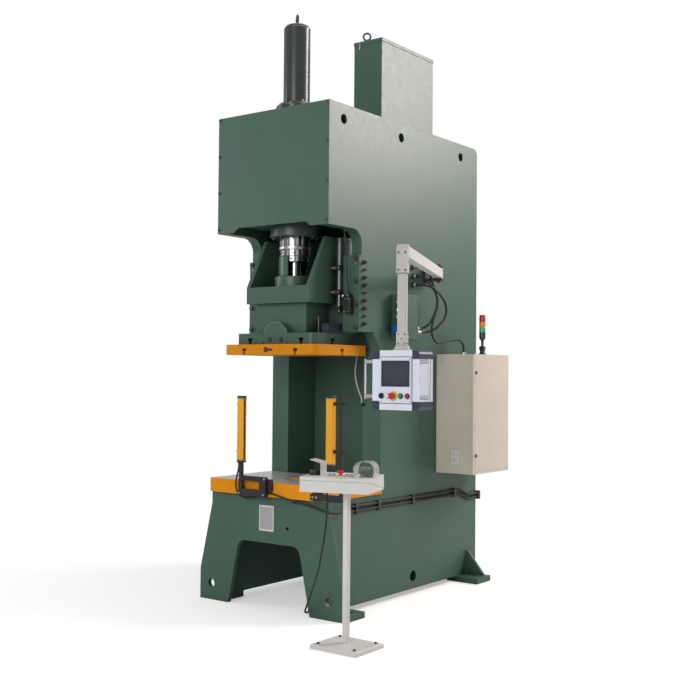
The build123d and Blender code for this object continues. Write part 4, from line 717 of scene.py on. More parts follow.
def screws(name, spots, radius, height):
    """A cap screw on each (place, aim)."""
    return [socket_screw(name, at, aim, radius, height) for at, aim in spots]


def hex_bolt(name, at, aim, across, height):
    """Hexagon head with a chamfered top, on a washer."""
    washer = disc(name + "_washer", at, aim, across * 0.62, across * 0.07)
    seat = Vector(at) + axis(aim) * across * 0.07
    head = disc(name, seat, aim, across * 0.577, height, 6)
    worked(head, top_face(aim, seat, height), (inset, across * 0.06), (shift, axis(aim) * height * 0.08))
    return join([head, washer])


def join(parts):
    """Make several meshes one object under the first one's name."""
    bpy.ops.object.select_all(action="DESELECT")
    for part in parts:
        part.select_set(True)
    bpy.context.view_layer.objects.active = parts[0]
    if len(parts) > 1:
        bpy.ops.object.join()
    return parts[0]


def copies(obj, moves):
    """The model itself and a copy by each move, with a mesh of its own each time."""
    made = [obj]
    for move in moves:
        twin = obj.copy()
        twin.data = obj.data.copy()
        twin.data.transform(Matrix.Translation(move) if not isinstance(move, Matrix) else move)
        bpy.context.collection.objects.link(twin)
        made.append(twin)
    return made


def rows(obj, *steps):
    """Copies in a grid: each step is (count, spacing)."""
    moves = [Vector()]
    for count, spacing in steps:
        moves = [m + Vector(spacing) * i for m in moves for i in range(count)]
    return copies(obj, moves[1:])


def around(obj, centre, count):
    """Copies in a circle about the upright line through a centre."""
    there = Matrix.Translation(centre.xy.to_3d())
    turns = [Matrix.Rotation(2 * pi * i / count, 4, "Z") for i in range(1, count)]
    return copies(obj, [there @ turn @ there.inverted() for turn in turns])


def dress(parts, finish, body="frame", angle=35):
    """Finish a piece, joined if it is a list: material, smooth shading and body."""
    piece = join(parts) if isinstance(parts, list) else parts
    piece.data.materials.clear()
    piece.data.materials.append(MATERIALS[finish])
    if piece.type == "MESH":
        only(piece)
        bpy.ops.object.shade_smooth_by_angle(angle=radians(angle))
    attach(piece, body)


def lathe(name, profile, at, aim="+Z", sides=40):
    """Turn a profile of (radius, height) points with the spin operator."""
    mesh = bpy.data.meshes.new(name)
    mesh.from_pydata([(r, 0, h) for r, h in profile], [(i, i + 1) for i in range(len(profile) - 1)], [])
    obj = bpy.data.objects.new(name, mesh)
    bpy.context.collection.objects.link(obj)
    begin(obj, "VERT")
    bpy.ops.mesh.select_all(action="SELECT")
    bpy.ops.mesh.spin(steps=sides, angle=2 * pi, center=(0, 0, 0), axis=(0, 0, 1))
    bpy.ops.mesh.select_all(action="SELECT")
    bpy.ops.mesh.remove_doubles(threshold=1e-6)
    bpy.ops.mesh.normals_make_consistent(inside=False)
    end()
    only(obj)
    obj.rotation_euler = turned(aim)
    obj.location = at
    bpy.ops.object.transform_apply(location=True, rotation=True, scale=True)
    return obj


def ring(name, at, aim, inner, outer, height, soft=0.0008, sides=36):
    """Flat ring with softened outer edges."""
    return lathe(name, [(inner, 0), (outer, 0), (outer, height - soft), (outer - soft, height),
                        (inner + soft, height), (inner, height - soft), (inner, 0)], at, aim, sides)


def dome(name, at, aim, radius, height, sides=28):
    """Low dome on a short skirt."""
    rise = [(radius * cos(a), height * (0.35 + 0.65 * sin(a))) for a in [pi / 2 * i / 6 for i in range(7)]]
    return lathe(name, [(0, 0), (radius, 0)] + rise[:-1] + [(0, height)], at, aim, sides)


def gland(name, at, aim, inner, outer, neck, skirt, height):
    """Domed nut of a cable gland."""
    return lathe(name, [(inner, 0), (outer, 0.0006), (outer, skirt), (neck, height - 0.001), (inner, height),
                        (inner, 0)], at, aim, 30)


def relief(name, at, aim, hose, length=0.026):
    """Tapered sleeve that keeps a cable from kinking."""
    wide = hose * 1.38
    return lathe(name, [(hose * 1.02, 0), (wide, 0), (wide, length * 0.18), (wide * 0.95, length * 0.24),
                        (wide * 0.9, length * 0.55), (hose * 1.12, length * 0.92), (hose * 1.02, length),
                        (hose * 1.02, 0)], at, aim, 24)


def lifting_eye(name, at, lift, yaw, thick, foot, skirt):
    """Ring on a turned foot; the lift is to the ring's centre."""
    base = lathe(name + "_foot", [(0, 0), (foot, 0), (foot, skirt), (foot - 0.008, skirt + 0.005),
                                  (0, skirt + 0.005)], at)
    eye = primitive("torus", name, (pi / 2, 0, radians(yaw)), at=at + up(lift), major_radius=0.0245,
                    minor_radius=thick, major_segments=40, minor_segments=14)
    dress([eye, base], "dark_steel")


def route_curve(name, points, radius, sides=6):
    """Smooth tube whose control points are the route's."""
    curve = bpy.data.curves.new(name, "CURVE")
    curve.dimensions = "3D"
    curve.bevel_depth = radius
    curve.bevel_resolution = sides
    curve.resolution_u = 8
    curve.use_fill_caps = True
    spline = curve.splines.new("NURBS")
    spline.points.add(len(points) - 1)
    for spot, (x, y, z) in zip(spline.points, points):
        spot.co = (x / 1000, y / 1000, z / 1000, 1.0)
    spline.order_u = 3
    spline.use_endpoint_u = True
    obj = bpy.data.objects.new(name, curve)
    bpy.context.collection.objects.link(obj)
    return obj


def welds(name, lines, radius, finish):
    """Weld beads along straight lines given in millimetres."""
    beads = [route_curve(name, line, radius, 3) for line in lines]
    for bead in beads:
        only(bead)
        bpy.ops.object.convert(target="MESH")
    dress(beads, finish, angle=60)


def cord_end(name, index):
    """First (0) or last (-1) point of a cord's route in metres."""
    return Vector(ROUTES[name][index]) / 1000


def on_arm(along, across, z):
    """Place in the arm's own directions, from its pivot."""
    return ARM_PIVOT + Vector((along * cos(ARM_TURN) - across * sin(ARM_TURN),
                               along * sin(ARM_TURN) + across * cos(ARM_TURN), z))


def on_box(u, v, z=BOX_TOP):
    """Place on the turned pedestal box, u across and v in depth."""
    return BOX_CENTRE + Vector((u * cos(BOX_YAW) - v * sin(BOX_YAW), u * sin(BOX_YAW) + v * cos(BOX_YAW), z))


# Operators

class PRESS_OT_cords(bpy.types.Operator):
    """Hoses and cables as smooth lines"""
    bl_idname = "press.cords"
    bl_label = "Hoses and cables"

    def execute(self, context):
        for name, (size, along, stiffness, finish) in CORDS.items():
            cord = route_curve(name + "_line", ROUTES[name], size / 2)
            dress(cord, finish)
            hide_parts(name)
        return {"FINISHED"}


class PRESS_OT_head_detail(bpy.types.Operator):
    """Cover screws, tail crown, lifting eyes, flange bolts, latch, hole rims and gland screws"""
    bl_idname = "press.head_detail"
    bl_label = "Head detail"

    def execute(self, context):
        """Build the fasteners and lifting points of the head."""
        margin = 0.012
        x, low, high = COVER_HIGH[0] - margin, COVER_LOW[2] + 0.028, COVER_HIGH[2] - margin
        head = context.scene.press_sizes.screw
        screw = socket_screw("cover_screws", (x, COVER_LOW[1], low), "-Y", head, 0.006)
        dress(rows(screw, (2, (-2 * x, 0, 0)), (4, (0, 0, (high - low) / 3))), "dark_steel")

        radius, rise = 0.082, 0.027
        crown = Vector(((TAIL_LOW[0] + TAIL_HIGH[0]) / 2, (TAIL_LOW[1] + TAIL_HIGH[1]) / 2, TAIL_HIGH[2]))
        arch = [(radius * cos(a), 0.002 + rise * sin(a)) for a in [pi / 2 * i / 8 for i in range(8)]]
        dress(lathe("tail_crown", [(0, 0), (radius, 0)] + arch + [(0, 0.002 + rise)], crown, "+Z", 56), "tail")
        lifting_eye("tail_eye", crown + up(rise), 0.037, -38, 0.0068, 0.02, 0.006)
        flange = Vector((crown.x, crown.y - 0.1055, HEAD_TOP + 0.0815))
        dress(around(hex_bolt("tail_flange_bolts", flange, "+Z", 0.018, 0.011), crown, 6), "dark_steel")

        x, y, z = VALVE_LOW[0], VALVE_LOW[1], VALVE_HIGH[2]
        lifting_eye("valve_box_eye", Vector((x + 0.093, y + 0.027, z)), 0.033, 37, 0.0066, 0.019, 0.005)
        dress(plate("valve_box_latch", (x + 0.048, y - 0.0035, z - 0.056), (x + 0.058, y - 0.0003, z - 0.012),
                    "-Y", 0.002, -0.0008), "plated")

        at = (SIDE_FACE, -0.739, HEAD_TOP - 0.096)
        rim = ring("side_hole_rims", at, "+X", 0.0302, 0.0335, 0.0012, 0.0005, 48)
        dress(copies(rim, [Vector((0, 0.657, 0)), Vector((0, 1.45, 0))]), "frame")
        at = RAM_AXIS + Vector((0, -0.147, CYLINDER_LOW[2]))
        dress(around(socket_screw("gland_screws", at, "-Z", 0.0095, 0.009), RAM_AXIS, 12), "dark_steel")
        return {"FINISHED"}


class PRESS_OT_nameplate(bpy.types.Operator):
    """Bare plate with four rivets on the apron"""
    bl_idname = "press.nameplate"
    bl_label = "Bare plate"

    def execute(self, context):
        """Build the plate and its rivets."""
        y = APRON_FRONT
        sheet = block("apron_plate", (-0.077, y - 0.0015, 0.498), (0.046, y, 0.663), 0.0006)
        dress(worked(sheet, toward("-Y"), (inset, 0.004), (shift, (0, 0.0005, 0))), "label")
        dress(block("apron_plate_field", (-0.069, y - 0.0016, 0.51), (0.038, y - 0.0009, 0.651), 0.0003),
              "plate_field")
        profile = [(0, 0), (0.0035, 0), (0.0032, 0.0012), (0.0018, 0.0022), (0, 0.0025)]
        rivet = lathe("apron_plate_rivets", profile, (-0.07, y - 0.0015, 0.505), "-Y", 16)
        dress(rows(rivet, (2, (0, 0, 0.151)), (2, (0.109, 0, 0))), "plated")
        return {"FINISHED"}


class PRESS_OT_slide_detail(bpy.types.Operator):
    """Screws of the shank clamp, the lock bolt, the rod's collar, the dogs' screws and the switch"""
    bl_idname = "press.slide_detail"
    bl_label = "Slide detail"

    def execute(self, context):
        """Build the fasteners of the slide and the front of the limit switch."""
        y, z = CLAMP_FRONT, 1.7305
        for x, name in ((-0.048, "clamp_screw_left"), (0.047, "clamp_screw_right")):
            # Painted shade: the black ring fills the screw's counterbore.
            dress(ring(name + "_sink", (x, y, z), "-Y", 0.0125, 0.0185, 0.001, 0.0004), "black", "ram")
            dress(socket_screw(name, (x, y, z), "-Y", 0.0123, 0.003), "dark_steel", "ram")
        dress(socket_screw("clamp_set_screw", (0.004, y, 1.734), "-Y", 0.0062, 0.0016), "dark_steel", "ram")
        inner, outer, thick = 0.104, 0.1058, 0.001
        arc = lathe("clamp_edge", [(inner, 0), (outer, 0), (outer, thick), (inner, thick), (inner, 0)],
                    (0, y, 1.738), "-Y", 96)
        begin(arc)
        bpy.ops.mesh.select_all(action="SELECT")
        bpy.ops.mesh.bisect(plane_co=(0, 0, 1.7728), plane_no=(0, 0, 1), clear_inner=True, use_fill=True)
        end()
        dress(arc, "plated", "ram")

        x, y, z = -0.029, PLATE_FRONT, 1.6632
        dress(socket_screw("lock_bolt", (x, y, z), "-Y", 0.015, 0.0022), "dark_steel", "ram")
        # Painted shade: the black slot and rim fill the lock bolt's slotted counterbore.
        slit = block("lock_bolt_slot", (-0.012, y - 0.0012, z - 0.0075), (0.026, y, z + 0.0075), 0.0005)
        rim = ring("lock_bolt_rim", (x, y, z), "-Y", 0.0151, 0.0178, 0.0012, 0.0004)
        dress([slit, rim], "black", "ram")
        plug = dome("grease_points", (-0.44, GIB_FRONT, 2.225), "-Y", 0.0055, 0.006, 16)
        dress(rows(plug, (2, (0.88, 0, 0))), "plated")
        dress(lathe("flange_pin", [(0, 0), (0.006, 0), (0.006, 0.104), (0.0045, 0.11), (0, 0.11)],
                    (0.249, -0.7, FLANGE_BLOCK_FOOT), "+Z", 20), "dark_steel", "ram")

        collar = [(0.1041, 0), (0.1075, 0.0012), (0.1082, 0.004), (0.1082, 0.019), (0.1075, 0.022),
                  (0.1041, 0.0232), (0.1041, 0)]
        dress(lathe("rod_collar", collar, RAM_AXIS + up(2.3245), "+Z", 72), "ground", "ram")
        # Painted shade: the dark rings and pits stand for the shade in the rod's grooves and pits.
        dress([ring("rod_grooves", RAM_AXIS + up(z), "+Z", 0.104, 0.1046, 0.0016, 0.0002, 72)
               for z in (2.2835, 2.3535, 2.364)], "groove", "ram")
        ways = [heading(radians(60 * i - 55)) for i in range(6)]
        spots = [(RAM_AXIS + way * 0.1037 + up(2.301), way) for way in ways]
        dress(screws("rod_pits", spots, 0.007, 0.0012), "groove", "ram")
        spots = [((x, -0.605, z), "-Y") for z in DOG_HEIGHTS for x in (0.284, 0.302, 0.3365)]
        dress(screws("dog_screws", spots, 0.006, 0.005), "plated", "ram")

        y = SWITCH_FRONT
        dress(plate("switch_cover", (0.384, y - 0.003, 1.906), (0.424, y, 2.0), "-Y", 0.004, 0.0012,
                    0.001), "black_plastic")
        spots = [((x, y - 0.0042, z), "-Y") for x in (0.3905, 0.4175) for z in (1.9125, 1.9935)]
        caps = screws("switch_screws", spots, 0.0032, 0.0018)
        caps.append(socket_screw("switch_screws", (0.404, -0.602, 2.0165), "-Y", 0.006, 0.003))
        caps.append(lathe("switch_roller", [(0, 0), (0.0085, 0), (0.01, 0.001), (0.01, 0.004),
                                            (0.0085, 0.005), (0, 0.005)], (0.358, -0.592, 2.016), "-Y", 28))
        dress(caps, "plated")
        return {"FINISHED"}


class PRESS_OT_panel_detail(bpy.types.Operator):
    """Screen glass, button rims, fascia screws, collar, post sleeve, elbow and bracket screws"""
    bl_idname = "press.panel_detail"
    bl_label = "Operator panel detail"

    def execute(self, context):
        """Build the detail of the panel, the arm and its bracket."""
        y, z = SCREEN_FRONT, BUTTON_Z
        dress(plate("screen_glass", (1.0425, y + 0.0005, 1.4555), (1.2075, y + 0.0015, 1.5765), "-Y", 0.0012,
                    -0.0002, 0.0002), "glass", "panel")
        face, lip_at = FASCIA_FRONT, FASCIA_FRONT - 0.004
        for x, name in ((1.032, "knob_rim"), (1.162, "start_rim"), (1.207, "stop_rim")):
            skirt = ring(name + "_skirt", (x, face, z), "-Y", 0.0151, 0.0166, 0.003, 0.0006, 40)
            lip = ring(name, (x, lip_at, z), "-Y", 0.0122, 0.015, 0.002, 0.0007, 40)
            dress([lip, skirt], "black_plastic", "panel")
        skirt = ring("estop_ring", (1.113, face, z), "-Y", 0.0221, 0.0272, 0.004, 0.0012, 48)
        lip = ring("estop_lip", (1.113, lip_at, z), "-Y", 0.0122, 0.0218, 0.0008, 0.0003, 48)
        dress([skirt, lip], "yellow_plastic", "panel")
        dress(dome("lamp_lens", (1.073, face - 0.009, z), "-Y", 0.0104, 0.005), "lamp", "panel")
        dress(ring("lamp_rim", (1.073, lip_at, z), "-Y", 0.0108, 0.0149, 0.003, 0.001), "plated", "panel")

        (x0, _, z0), (x1, _, z1) = FASCIA_LOW, FASCIA_HIGH
        screw = socket_screw("fascia_screws", (x0 + 0.009, face, z0 + 0.009), "-Y", 0.004, 0.0022)
        dress(rows(screw, (2, (x1 - x0 - 0.018, 0, 0)), (2, (0, 0, z1 - z0 - 0.018))), "plated", "panel")
        y, near, far, past = PANEL_LOW[1], 0.0025, 0.0055, 0.004
        gaps = [(x0 - far, x0 - near, z0 - past, z1 + past), (x1 + near, x1 + far, z0 - past, z1 + past),
                (x0 - past, x1 + past, z1 + near, z1 + far), (x0 - past, x1 + past, z0 - far, z0 - near)]
        dress([block("panel_groove", (a, y - 0.0008, c), (b, y, d), 0.0003) for a, b, c, d in gaps],
              "navy", "panel")
        collar = [(0.0365, 0), (0.056, 0), (0.056, 0.0018), (0.054, 0.004), (0.0365, 0.0042), (0.0365, 0)]
        dress(lathe("panel_collar", collar, POST_AXIS + up(PANEL_HIGH[2]), "+Z", 48), "panel", "panel")

        flare = cube("post_flare", POST_AXIS + up(1.665), (0.066, 0.066, 0.022), ARM_TURN)
        worked(flare, toward("-Z"), (widen, (1.22, 1.22, 1)))
        dress(soften(flare, 0.002, 3, lambda c, n: abs(n.z) > 0.9), "post", "arm")
        sleeve = cube("post_sleeve", POST_AXIS + up(1.714), (0.0615, 0.0615, 0.076), ARM_TURN)
        dress(soften(sleeve, 0.003, 3), "post", "arm")
        dots = ((-0.017, 1.741), (0.017, 1.741), (0, 1.714), (-0.017, 1.688), (0.017, 1.688))
        spots = []
        for i in range(4):
            way, side = heading(ARM_TURN + pi / 2 * i), heading(ARM_TURN + pi / 2 * (i + 1))
            spots += [(POST_AXIS + way * 0.03075 + side * u + up(z), way) for u, z in dots]
        dress(screws("sleeve_screws", spots, 0.0042, 0.0022), "dark_steel", "arm")
        seam = cube("elbow_seam", POST_AXIS + up(ELBOW_LOW - 0.0015), (0.056, 0.056, 0.003), ARM_TURN)
        dress(worked(seam, toward("-Z"), (inset, 0.0012)), "groove", "arm")
        out, across = heading(ARM_TURN), heading(ARM_TURN + pi / 2)
        tip = on_arm(ARM_REACH + ELBOW_HALF, 0, 0)
        spots = [(tip + across * side + up(z), out) for z in (2.105, 2.205) for side in (-0.02, 0.02)]
        dress(screws("elbow_screws", spots, 0.0062, 0.003), "dark_steel", "arm")
        spots = [(on_arm(ARM_REACH - 0.01, side * ELBOW_HALF, 2.155), across * side) for side in (-1, 1)]
        dress(screws("elbow_side_screws", spots, 0.0055, 0.0026), "dark_steel", "arm")

        dress(dome("hinge_cap", ARM_PIVOT + up(BRACKET_HIGH[2]), "+Z", 0.015, 0.006), "black")
        margin = 0.014
        (_, y0, z0), (_, y1, z1) = BRACKET_LOW, BRACKET_HIGH
        at = (SIDE_FACE + 0.012, y0 + margin, z0 + margin)
        screw = socket_screw("arm_bracket_screws", at, "+X", 0.006, 0.005)
        dress(rows(screw, (2, (0, y1 - y0 - 2 * margin, 0)), (2, (0, 0, z1 - z0 - 2 * margin))), "dark_steel")
        return {"FINISHED"}


class PRESS_OT_side_detail(bpy.types.Operator):
    """Glands, crimped sleeves, box lid, socket outlet, door field and foot welds"""
    bl_idname = "press.side_detail"
    bl_label = "Side detail"

    def execute(self, context):
        """Build the detail on the press's right side."""
        domes, sleeves = [], []
        for name in ("cabinet_cable", "hose_upper", "hose_lower"):
            _, y, z = cord_end(name, 0)
            at = (SIDE_FACE + 0.0125, y, z)
            domes.append(gland("gland_domes", at, "+X", 0.0121, 0.0142, 0.0128, 0.01, 0.016))
            sleeves.append(relief("gland_sleeves", (SIDE_FACE + 0.03, y, z), "+X", CORDS[name][0] / 2))
        x, y, _ = cord_end("cabinet_cable", -1)
        z = SHELL_HIGH[2]
        domes.append(gland("gland_domes", (x, y, z + 0.0004), "+Z", 0.0141, 0.0168, 0.015, 0.012, 0.019))
        sleeves.append(relief("gland_sleeves", (x, y, z + 0.022), "+Z", 0.007, 0.022))
        for name, index, aim, size in (("curtain_cable", 0, "-Z", 0.024), ("pedestal_cable", 0, "-Z", 0.03),
                                       ("switch_cable", 0, "-Z", 0.016), ("switch_cable", -1, "+Z", 0.016)):
            sleeves.append(relief("gland_sleeves", cord_end(name, index), aim, CORDS[name][0] / 2, size))
        dress(domes, "plated")
        dress(sleeves, "rubber")

        inner, crest, groove = 0.0101, 0.0121, 0.0112
        profile = [(inner, 0), (crest, 0.0006)]
        for h in [0.003 + 0.0072 * i for i in range(4)]:
            profile += [(crest, h), (groove, h + 0.0012), (groove, h + 0.0034), (crest, h + 0.0046)]
        profile += [(crest, 0.0315), (inner, 0.0325), (inner, 0)]
        crimps = []
        for name in ("hose_upper", "hose_lower"):
            x, _, z = cord_end(name, -1)
            crimps.append(lathe("crimped_sleeves", profile, (x, BOX_HIGH[1] + 0.0155, z), "+Y", 28))
            nut = disc("crimp_nut", (x, BOX_HIGH[1] + 0.0005, z), "+Y", 0.0142, 0.0135, 6)
            crimps.append(worked(nut, lambda c, n: abs(n.y) > 0.9, (inset, 0.0014)))
        dress(crimps, "bright")

        x, z0, z1 = BOX_HIGH[0], BOX_LOW[2], BOX_HIGH[2]
        dress(plate("box_lid", (x, -0.1835, z0 + 0.006), (x + 0.0022, -0.0085, z1 - 0.006), "+X", 0.004,
                    -0.0008), "frame")
        screw = socket_screw("box_lid_screws", (x + 0.0014, -0.1745, z0 + 0.015), "+X", 0.0042, 0.003)
        dress(rows(screw, (2, (0, 0.157, 0)), (2, (0, 0, z1 - z0 - 0.03))), "plated")
        plug = block("box_socket", (0.499, -0.24, 1.7795), (0.558, -0.1895, 1.8425), 0.005, 3)
        dress(worked(plug, toward("-Y"), (inset, 0.006), (sink, (0, 0.0035, 0))), "blue")
        connector = [(0.0072, 0), (0.0092, 0.0006), (0.0092, 0.01), (0.008, 0.0122), (0, 0.0122)]
        dress([lathe("box_connectors", connector, (0.5305, -0.2168, z), "-Y", 22)
               for z in (1.988, 1.938, 1.888)], "plated")

        y = SHELL_LOW[1]
        outlet = block("socket_outlet", (0.589, y - 0.014, 0.872), (0.662, y, 0.99), 0.004, 3)
        dress(worked(outlet, toward("-Y"), (inset, 0.006), (inset, 0.0012), (shift, (0, 0.0015, 0))), "white")
        dress(block("outlet_face", (0.611, y - 0.0148, 0.896), (0.64, y - 0.0124, 0.966)), "white")
        # Painted shade: the black slits fill the outlet's holes.
        spots = ((0.6195, 0.95), (0.6315, 0.95), (0.6195, 0.917), (0.6315, 0.917), (0.6255, 0.906))
        dress([block("outlet_slits", (x - 0.0016, y - 0.0152, z - 0.0042),
                     (x + 0.0016, y - 0.0146, z + 0.0042), 0.0002) for x, z in spots], "black_plastic")

        margin = 0.02
        (_, y0, z0), (x, y1, z1) = DOOR_LOW, DOOR_HIGH
        dress(plate("door_field", (x, y0 + margin, z0 + margin), (x + 0.001, y1 - margin, z1 - margin), "+X",
                    0.0015, 0.0003, 0.0003), "cabinet", "door")
        margin = 0.045
        at = (SHELL_LOW[0] + 0.05, y, SHELL_LOW[2] + margin)
        screw = socket_screw("cabinet_screws", at, "-Y", 0.005, 0.003)
        dress(rows(screw, (2, (0, 0, SHELL_HIGH[2] - SHELL_LOW[2] - 2 * margin))), "plated")
        x = SIDE_FACE * 1000 + 2
        flanks = [(GUSSET_Y - 0.001) * 1000, (GUSSET_Y + GUSSET_T + 0.001) * 1000]
        lines = [[(x, y, 28), (x, y, 196)] for y in flanks]
        welds("foot_welds", lines, context.scene.press_sizes.weld, "bead")
        return {"FINISHED"}


class PRESS_OT_safety_detail(bpy.types.Operator):
    """Light curtain windows and caps, bracket and pedestal detail and the cable clip"""
    bl_idname = "press.safety_detail"
    bl_label = "Curtain and pedestal detail"

    def execute(self, context):
        """Build the detail of the curtains and the pedestal."""
        windows, caps, seals = [], [], []
        for x, way, z in ((-0.155, 1, 0.934), (0.52, -1, 0.948)):
            windows.append(block("curtain_windows", (x - way * 0.003, -0.9568, z + 0.0145),
                                 (x - way * 0.0012, -0.9422, z + 0.4135), 0.0004))
            for top, side in ((z + 0.428, 1), (z, -1)):
                caps.append(block("curtain_caps", (x + way * 0.0006, -0.9668, top - side * 0.013),
                                  (x - way * 0.0526, -0.9324, top + side * 0.0012), 0.0028, 3))
                seals.append(block("curtain_seals", (x + way * 0.0003, -0.9665, top - side * 0.019),
                                   (x - way * 0.0523, -0.9327, top - side * 0.0135), 0.0012))
        dress(windows, "window")
        dress(caps, "black_plastic")
        dress(seals, "green_cap")
        spots = ((-0.186, 0.737), (0.029, 0.838), (0.02, 0.737), (-0.186, 0.838), (0.42, 0.755),
                 (0.45, 0.755))
        dress([hex_bolt("bracket_bolts", (x, -0.962, z), "-Y", 0.01, 0.0055) for x, z in spots], "plated")

        places = [on_box(u, BUTTON_ROW) for u in (-0.062, -0.038, 0.038, 0.062)]
        domes = [dome("pedestal_plugs", at + up(0.007), "+Z", 0.0094, 0.0035, 24) for at in places]
        skirts = [ring("plug_skirts", at, "+Z", 0.0101, 0.0128, 0.0024) for at in places]
        dress(domes + skirts, "black_plastic")
        dress(ring("pedestal_estop_ring", on_box(0, BUTTON_ROW), "+Z", 0.0096, 0.03, 0.003, 0.0008, 48),
              "yellow_plastic")
        collars = []
        for u, body in PALM_PLACES:
            at = on_box(u, BUTTON_ROW)
            collars.append(ring("palm_collars", at, "+Z", 0.0325, 0.0355, 0.007, 0.0012, 44))
            dress(lathe("palm_skirt", [(0.0142, 0), (0.03, 0), (0.0314, 0.0012), (0.0314, 0.01),
                                       (0.0142, 0.01), (0.0142, 0)], on_box(u, BUTTON_ROW, BOX_TOP + 0.0068),
                        "+Z", 44), "black_plastic", body)
        dress(collars, "black_plastic")
        hood = cube("hood_front", on_box(0.148, -0.077, BOX_TOP + 0.029), (0.116, 0.0018, 0.058), BOX_YAW)
        dress(soften(hood, 0.0007), "clear")

        side_tilt = radians(-10.5)
        seams = [(on_box(0, -0.1502, BOX_TOP - 0.0215), (0.386, 0.0006, 0.0013), 0.0)]
        seams += [(on_box(side * 0.1962, 0.0, BOX_TOP - 0.048), (0.0006, 0.296, 0.0013), side_tilt)
                  for side in (-1, 1)]
        lines = []
        for at, size, tilt in seams:
            turn = Matrix.Rotation(BOX_YAW, 4, "Z") @ Matrix.Rotation(tilt, 4, "X")
            lines.append(soften(cube("lid_seams", (0, 0, 0), size), 0.0002, 1))
            lines[-1].data.transform(Matrix.Translation(at) @ turn)
        dress(lines, "groove")

        nut = disc("pedestal_gland", cord_end("pedestal_cable", 0), "-Z", 0.0125, 0.009, 6)
        dress(worked(nut, toward("-Z"), (inset, 0.0016), (shift, (0, 0, -0.0012))), "black_plastic")
        foot = hex_bolt("pedestal_bolts", (0.842, -1.435, 0.025), "+Z", 0.013, 0.008)
        dress(rows(foot, (2, (0.246, 0, 0)), (2, (0, 0.2, 0))), "dark_steel")
        corners = [(935, -1340, 27), (965, -1340, 27), (965, -1310, 27), (935, -1310, 27)]
        welds("pole_weld", list(zip(corners, corners[1:] + corners[:1])), 0.0035, "white_bead")
        clip = ring("cable_clip", (0.223, -0.918, 0.7115), (1, 0.18, -0.2), 0.006, 0.0082, 0.014, 0.0006, 28)
        tab = block("cable_clip_tab", (0.222, -0.9105, 0.696), (0.238, -0.8872, 0.7015), 0.0008)
        dress([clip, tab], "black")
        return {"FINISHED"}


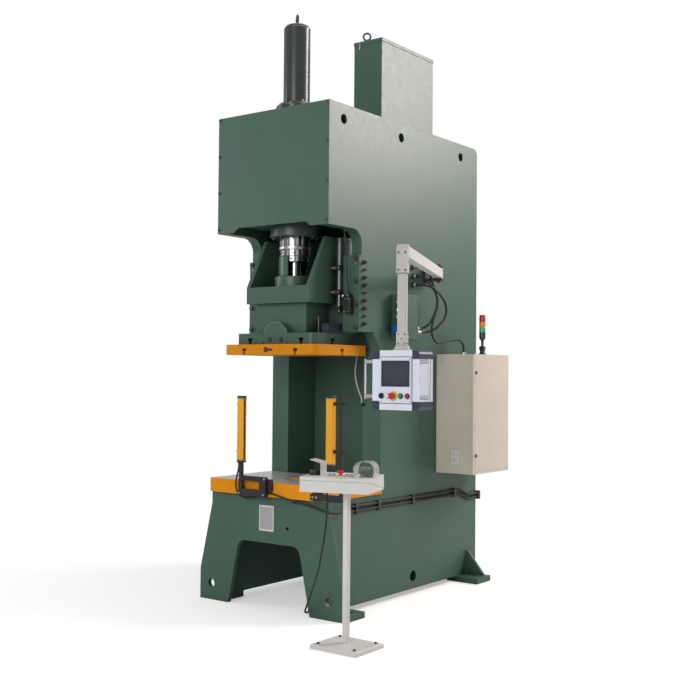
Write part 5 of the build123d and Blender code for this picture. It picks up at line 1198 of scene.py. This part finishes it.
class PRESS_OT_stage(bpy.types.Operator):
    """Floor, backdrop, lamps, world and camera"""
    bl_idname = "press.stage"
    bl_label = "Stage"

    def execute(self, context):
        """Build the white surroundings and the photograph's camera."""
        scene = context.scene
        scene.view_settings.view_transform = "Standard"
        white = bpy.data.materials.new("floor white")
        white.use_nodes = True
        n = Tree(white.node_tree)
        shader = n.tree.nodes["Principled BSDF"]
        matt = {"Base Color": (0.8, 0.8, 0.8), "Roughness": 0.9, "Specular IOR Level": 0.0}
        for name, value in matt.items():
            n.put(shader.inputs[name], value)
        seen = n.add("ShaderNodeEmission", {"Strength": FLOOR_LIFT}).outputs[0]
        far = n.add("ShaderNodeEmission", {"Strength": 1.0}).outputs[0]
        where = n.add("ShaderNodeNewGeometry").outputs["Position"]
        reach = n.add("ShaderNodeVectorMath", {0: where}, operation="LENGTH").outputs["Value"]
        lit = n.add("ShaderNodeAddShader", {0: shader.outputs[0], 1: seen}).outputs[0]
        away = n.blend(n.ramp(reach, *FLOOR_FADE), lit, far)
        ray = n.add("ShaderNodeLightPath").outputs
        n.put(n.tree.nodes["Material Output"].inputs["Surface"],
              n.blend(ray["Is Camera Ray"], shader.outputs[0], away))
        floor = primitive("plane", "floor", at=(0, 0, -0.0005), size=60)
        floor.data.materials.append(white)

        world = bpy.data.worlds.new("studio")
        scene.world = world
        world.use_nodes = True
        n = Tree(world.node_tree)
        ground = n.tree.nodes["Background"]
        n.put(ground.inputs["Color"], (1, 1, 1))
        n.put(ground.inputs["Strength"], WORLD_STRENGTH)
        plain = n.add("ShaderNodeBackground", {"Color": (1, 1, 1), "Strength": 1.0}).outputs[0]
        ray = n.add("ShaderNodeLightPath").outputs
        clear = n.math("MAXIMUM", ray["Is Camera Ray"], ray["Is Transmission Ray"])
        shown = n.math("MAXIMUM", clear, n.times(ray["Is Glossy Ray"], GLOSSY_SHARE))
        n.put(n.tree.nodes["World Output"].inputs["Surface"], n.blend(shown, ground.outputs[0], plain))

        for name, at, to, size, power, tone in LAMPS:
            light = bpy.data.lights.new(name, "AREA")
            light.size = size
            light.energy = power
            light.color = tone
            lamp = bpy.data.objects.new(name, light)
            lamp.location = at
            lamp.rotation_euler = (Vector(to) - Vector(at)).to_track_quat("-Z", "Y").to_euler()
            scene.collection.objects.link(lamp)

        lens = bpy.data.cameras.new("camera")
        lens.sensor_width = CAMERA_SENSOR
        lens.lens = CAMERA_LENS
        lens.clip_end = 200
        camera = bpy.data.objects.new("camera", lens)
        azimuth, elevation = CAMERA_AZIMUTH, CAMERA_ELEVATION
        look = Vector((-sin(azimuth) * cos(elevation), cos(azimuth) * cos(elevation), -sin(elevation)))
        turn = look.to_track_quat("-Z", "Y").to_matrix() @ Matrix.Rotation(CAMERA_ROLL, 3, "Z")
        camera.matrix_world = Matrix.Translation(CAMERA_PLACE) @ turn.to_4x4()
        scene.collection.objects.link(camera)
        scene.camera = camera
        return {"FINISHED"}


class PRESS_PT_panel(bpy.types.Panel):
    """Lists the steps that dress the press"""
    bl_label = "Press"
    bl_idname = "PRESS_PT_panel"
    bl_space_type = "VIEW_3D"
    bl_region_type = "UI"
    bl_category = "Press"

    def draw(self, context):
        """Draw the settings and one button for each step."""
        for group in (context.scene.press_colours, context.scene.press_sizes):
            for key in group.bl_rna.properties.keys():
                if key not in ("rna_type", "name"):
                    self.layout.prop(group, key)
        for step in STEPS:
            self.layout.operator(step.bl_idname)


STEPS = (PRESS_OT_cords, PRESS_OT_head_detail, PRESS_OT_slide_detail, PRESS_OT_panel_detail,
         PRESS_OT_side_detail, PRESS_OT_safety_detail, PRESS_OT_nameplate, PRESS_OT_stage)
CLASSES = (PressColours, PressSizes, *STEPS, PRESS_PT_panel)


def register():
    """Register the classes and the settings."""
    for cls in CLASSES:
        bpy.utils.register_class(cls)
    bpy.types.Scene.press_colours = bpy.props.PointerProperty(type=PressColours)
    bpy.types.Scene.press_sizes = bpy.props.PointerProperty(type=PressSizes)


def unregister():
    """Remove the settings and the classes."""
    del bpy.types.Scene.press_sizes
    del bpy.types.Scene.press_colours
    for cls in reversed(CLASSES):
        bpy.utils.unregister_class(cls)


def main():
    """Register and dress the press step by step."""
    register()
    make_materials(bpy.context.scene.press_colours)
    dress_nodes()
    for step in STEPS:
        area, name = step.bl_idname.split(".")
        getattr(getattr(bpy.ops, area), name)()


if __name__ == "__main__":
    main()
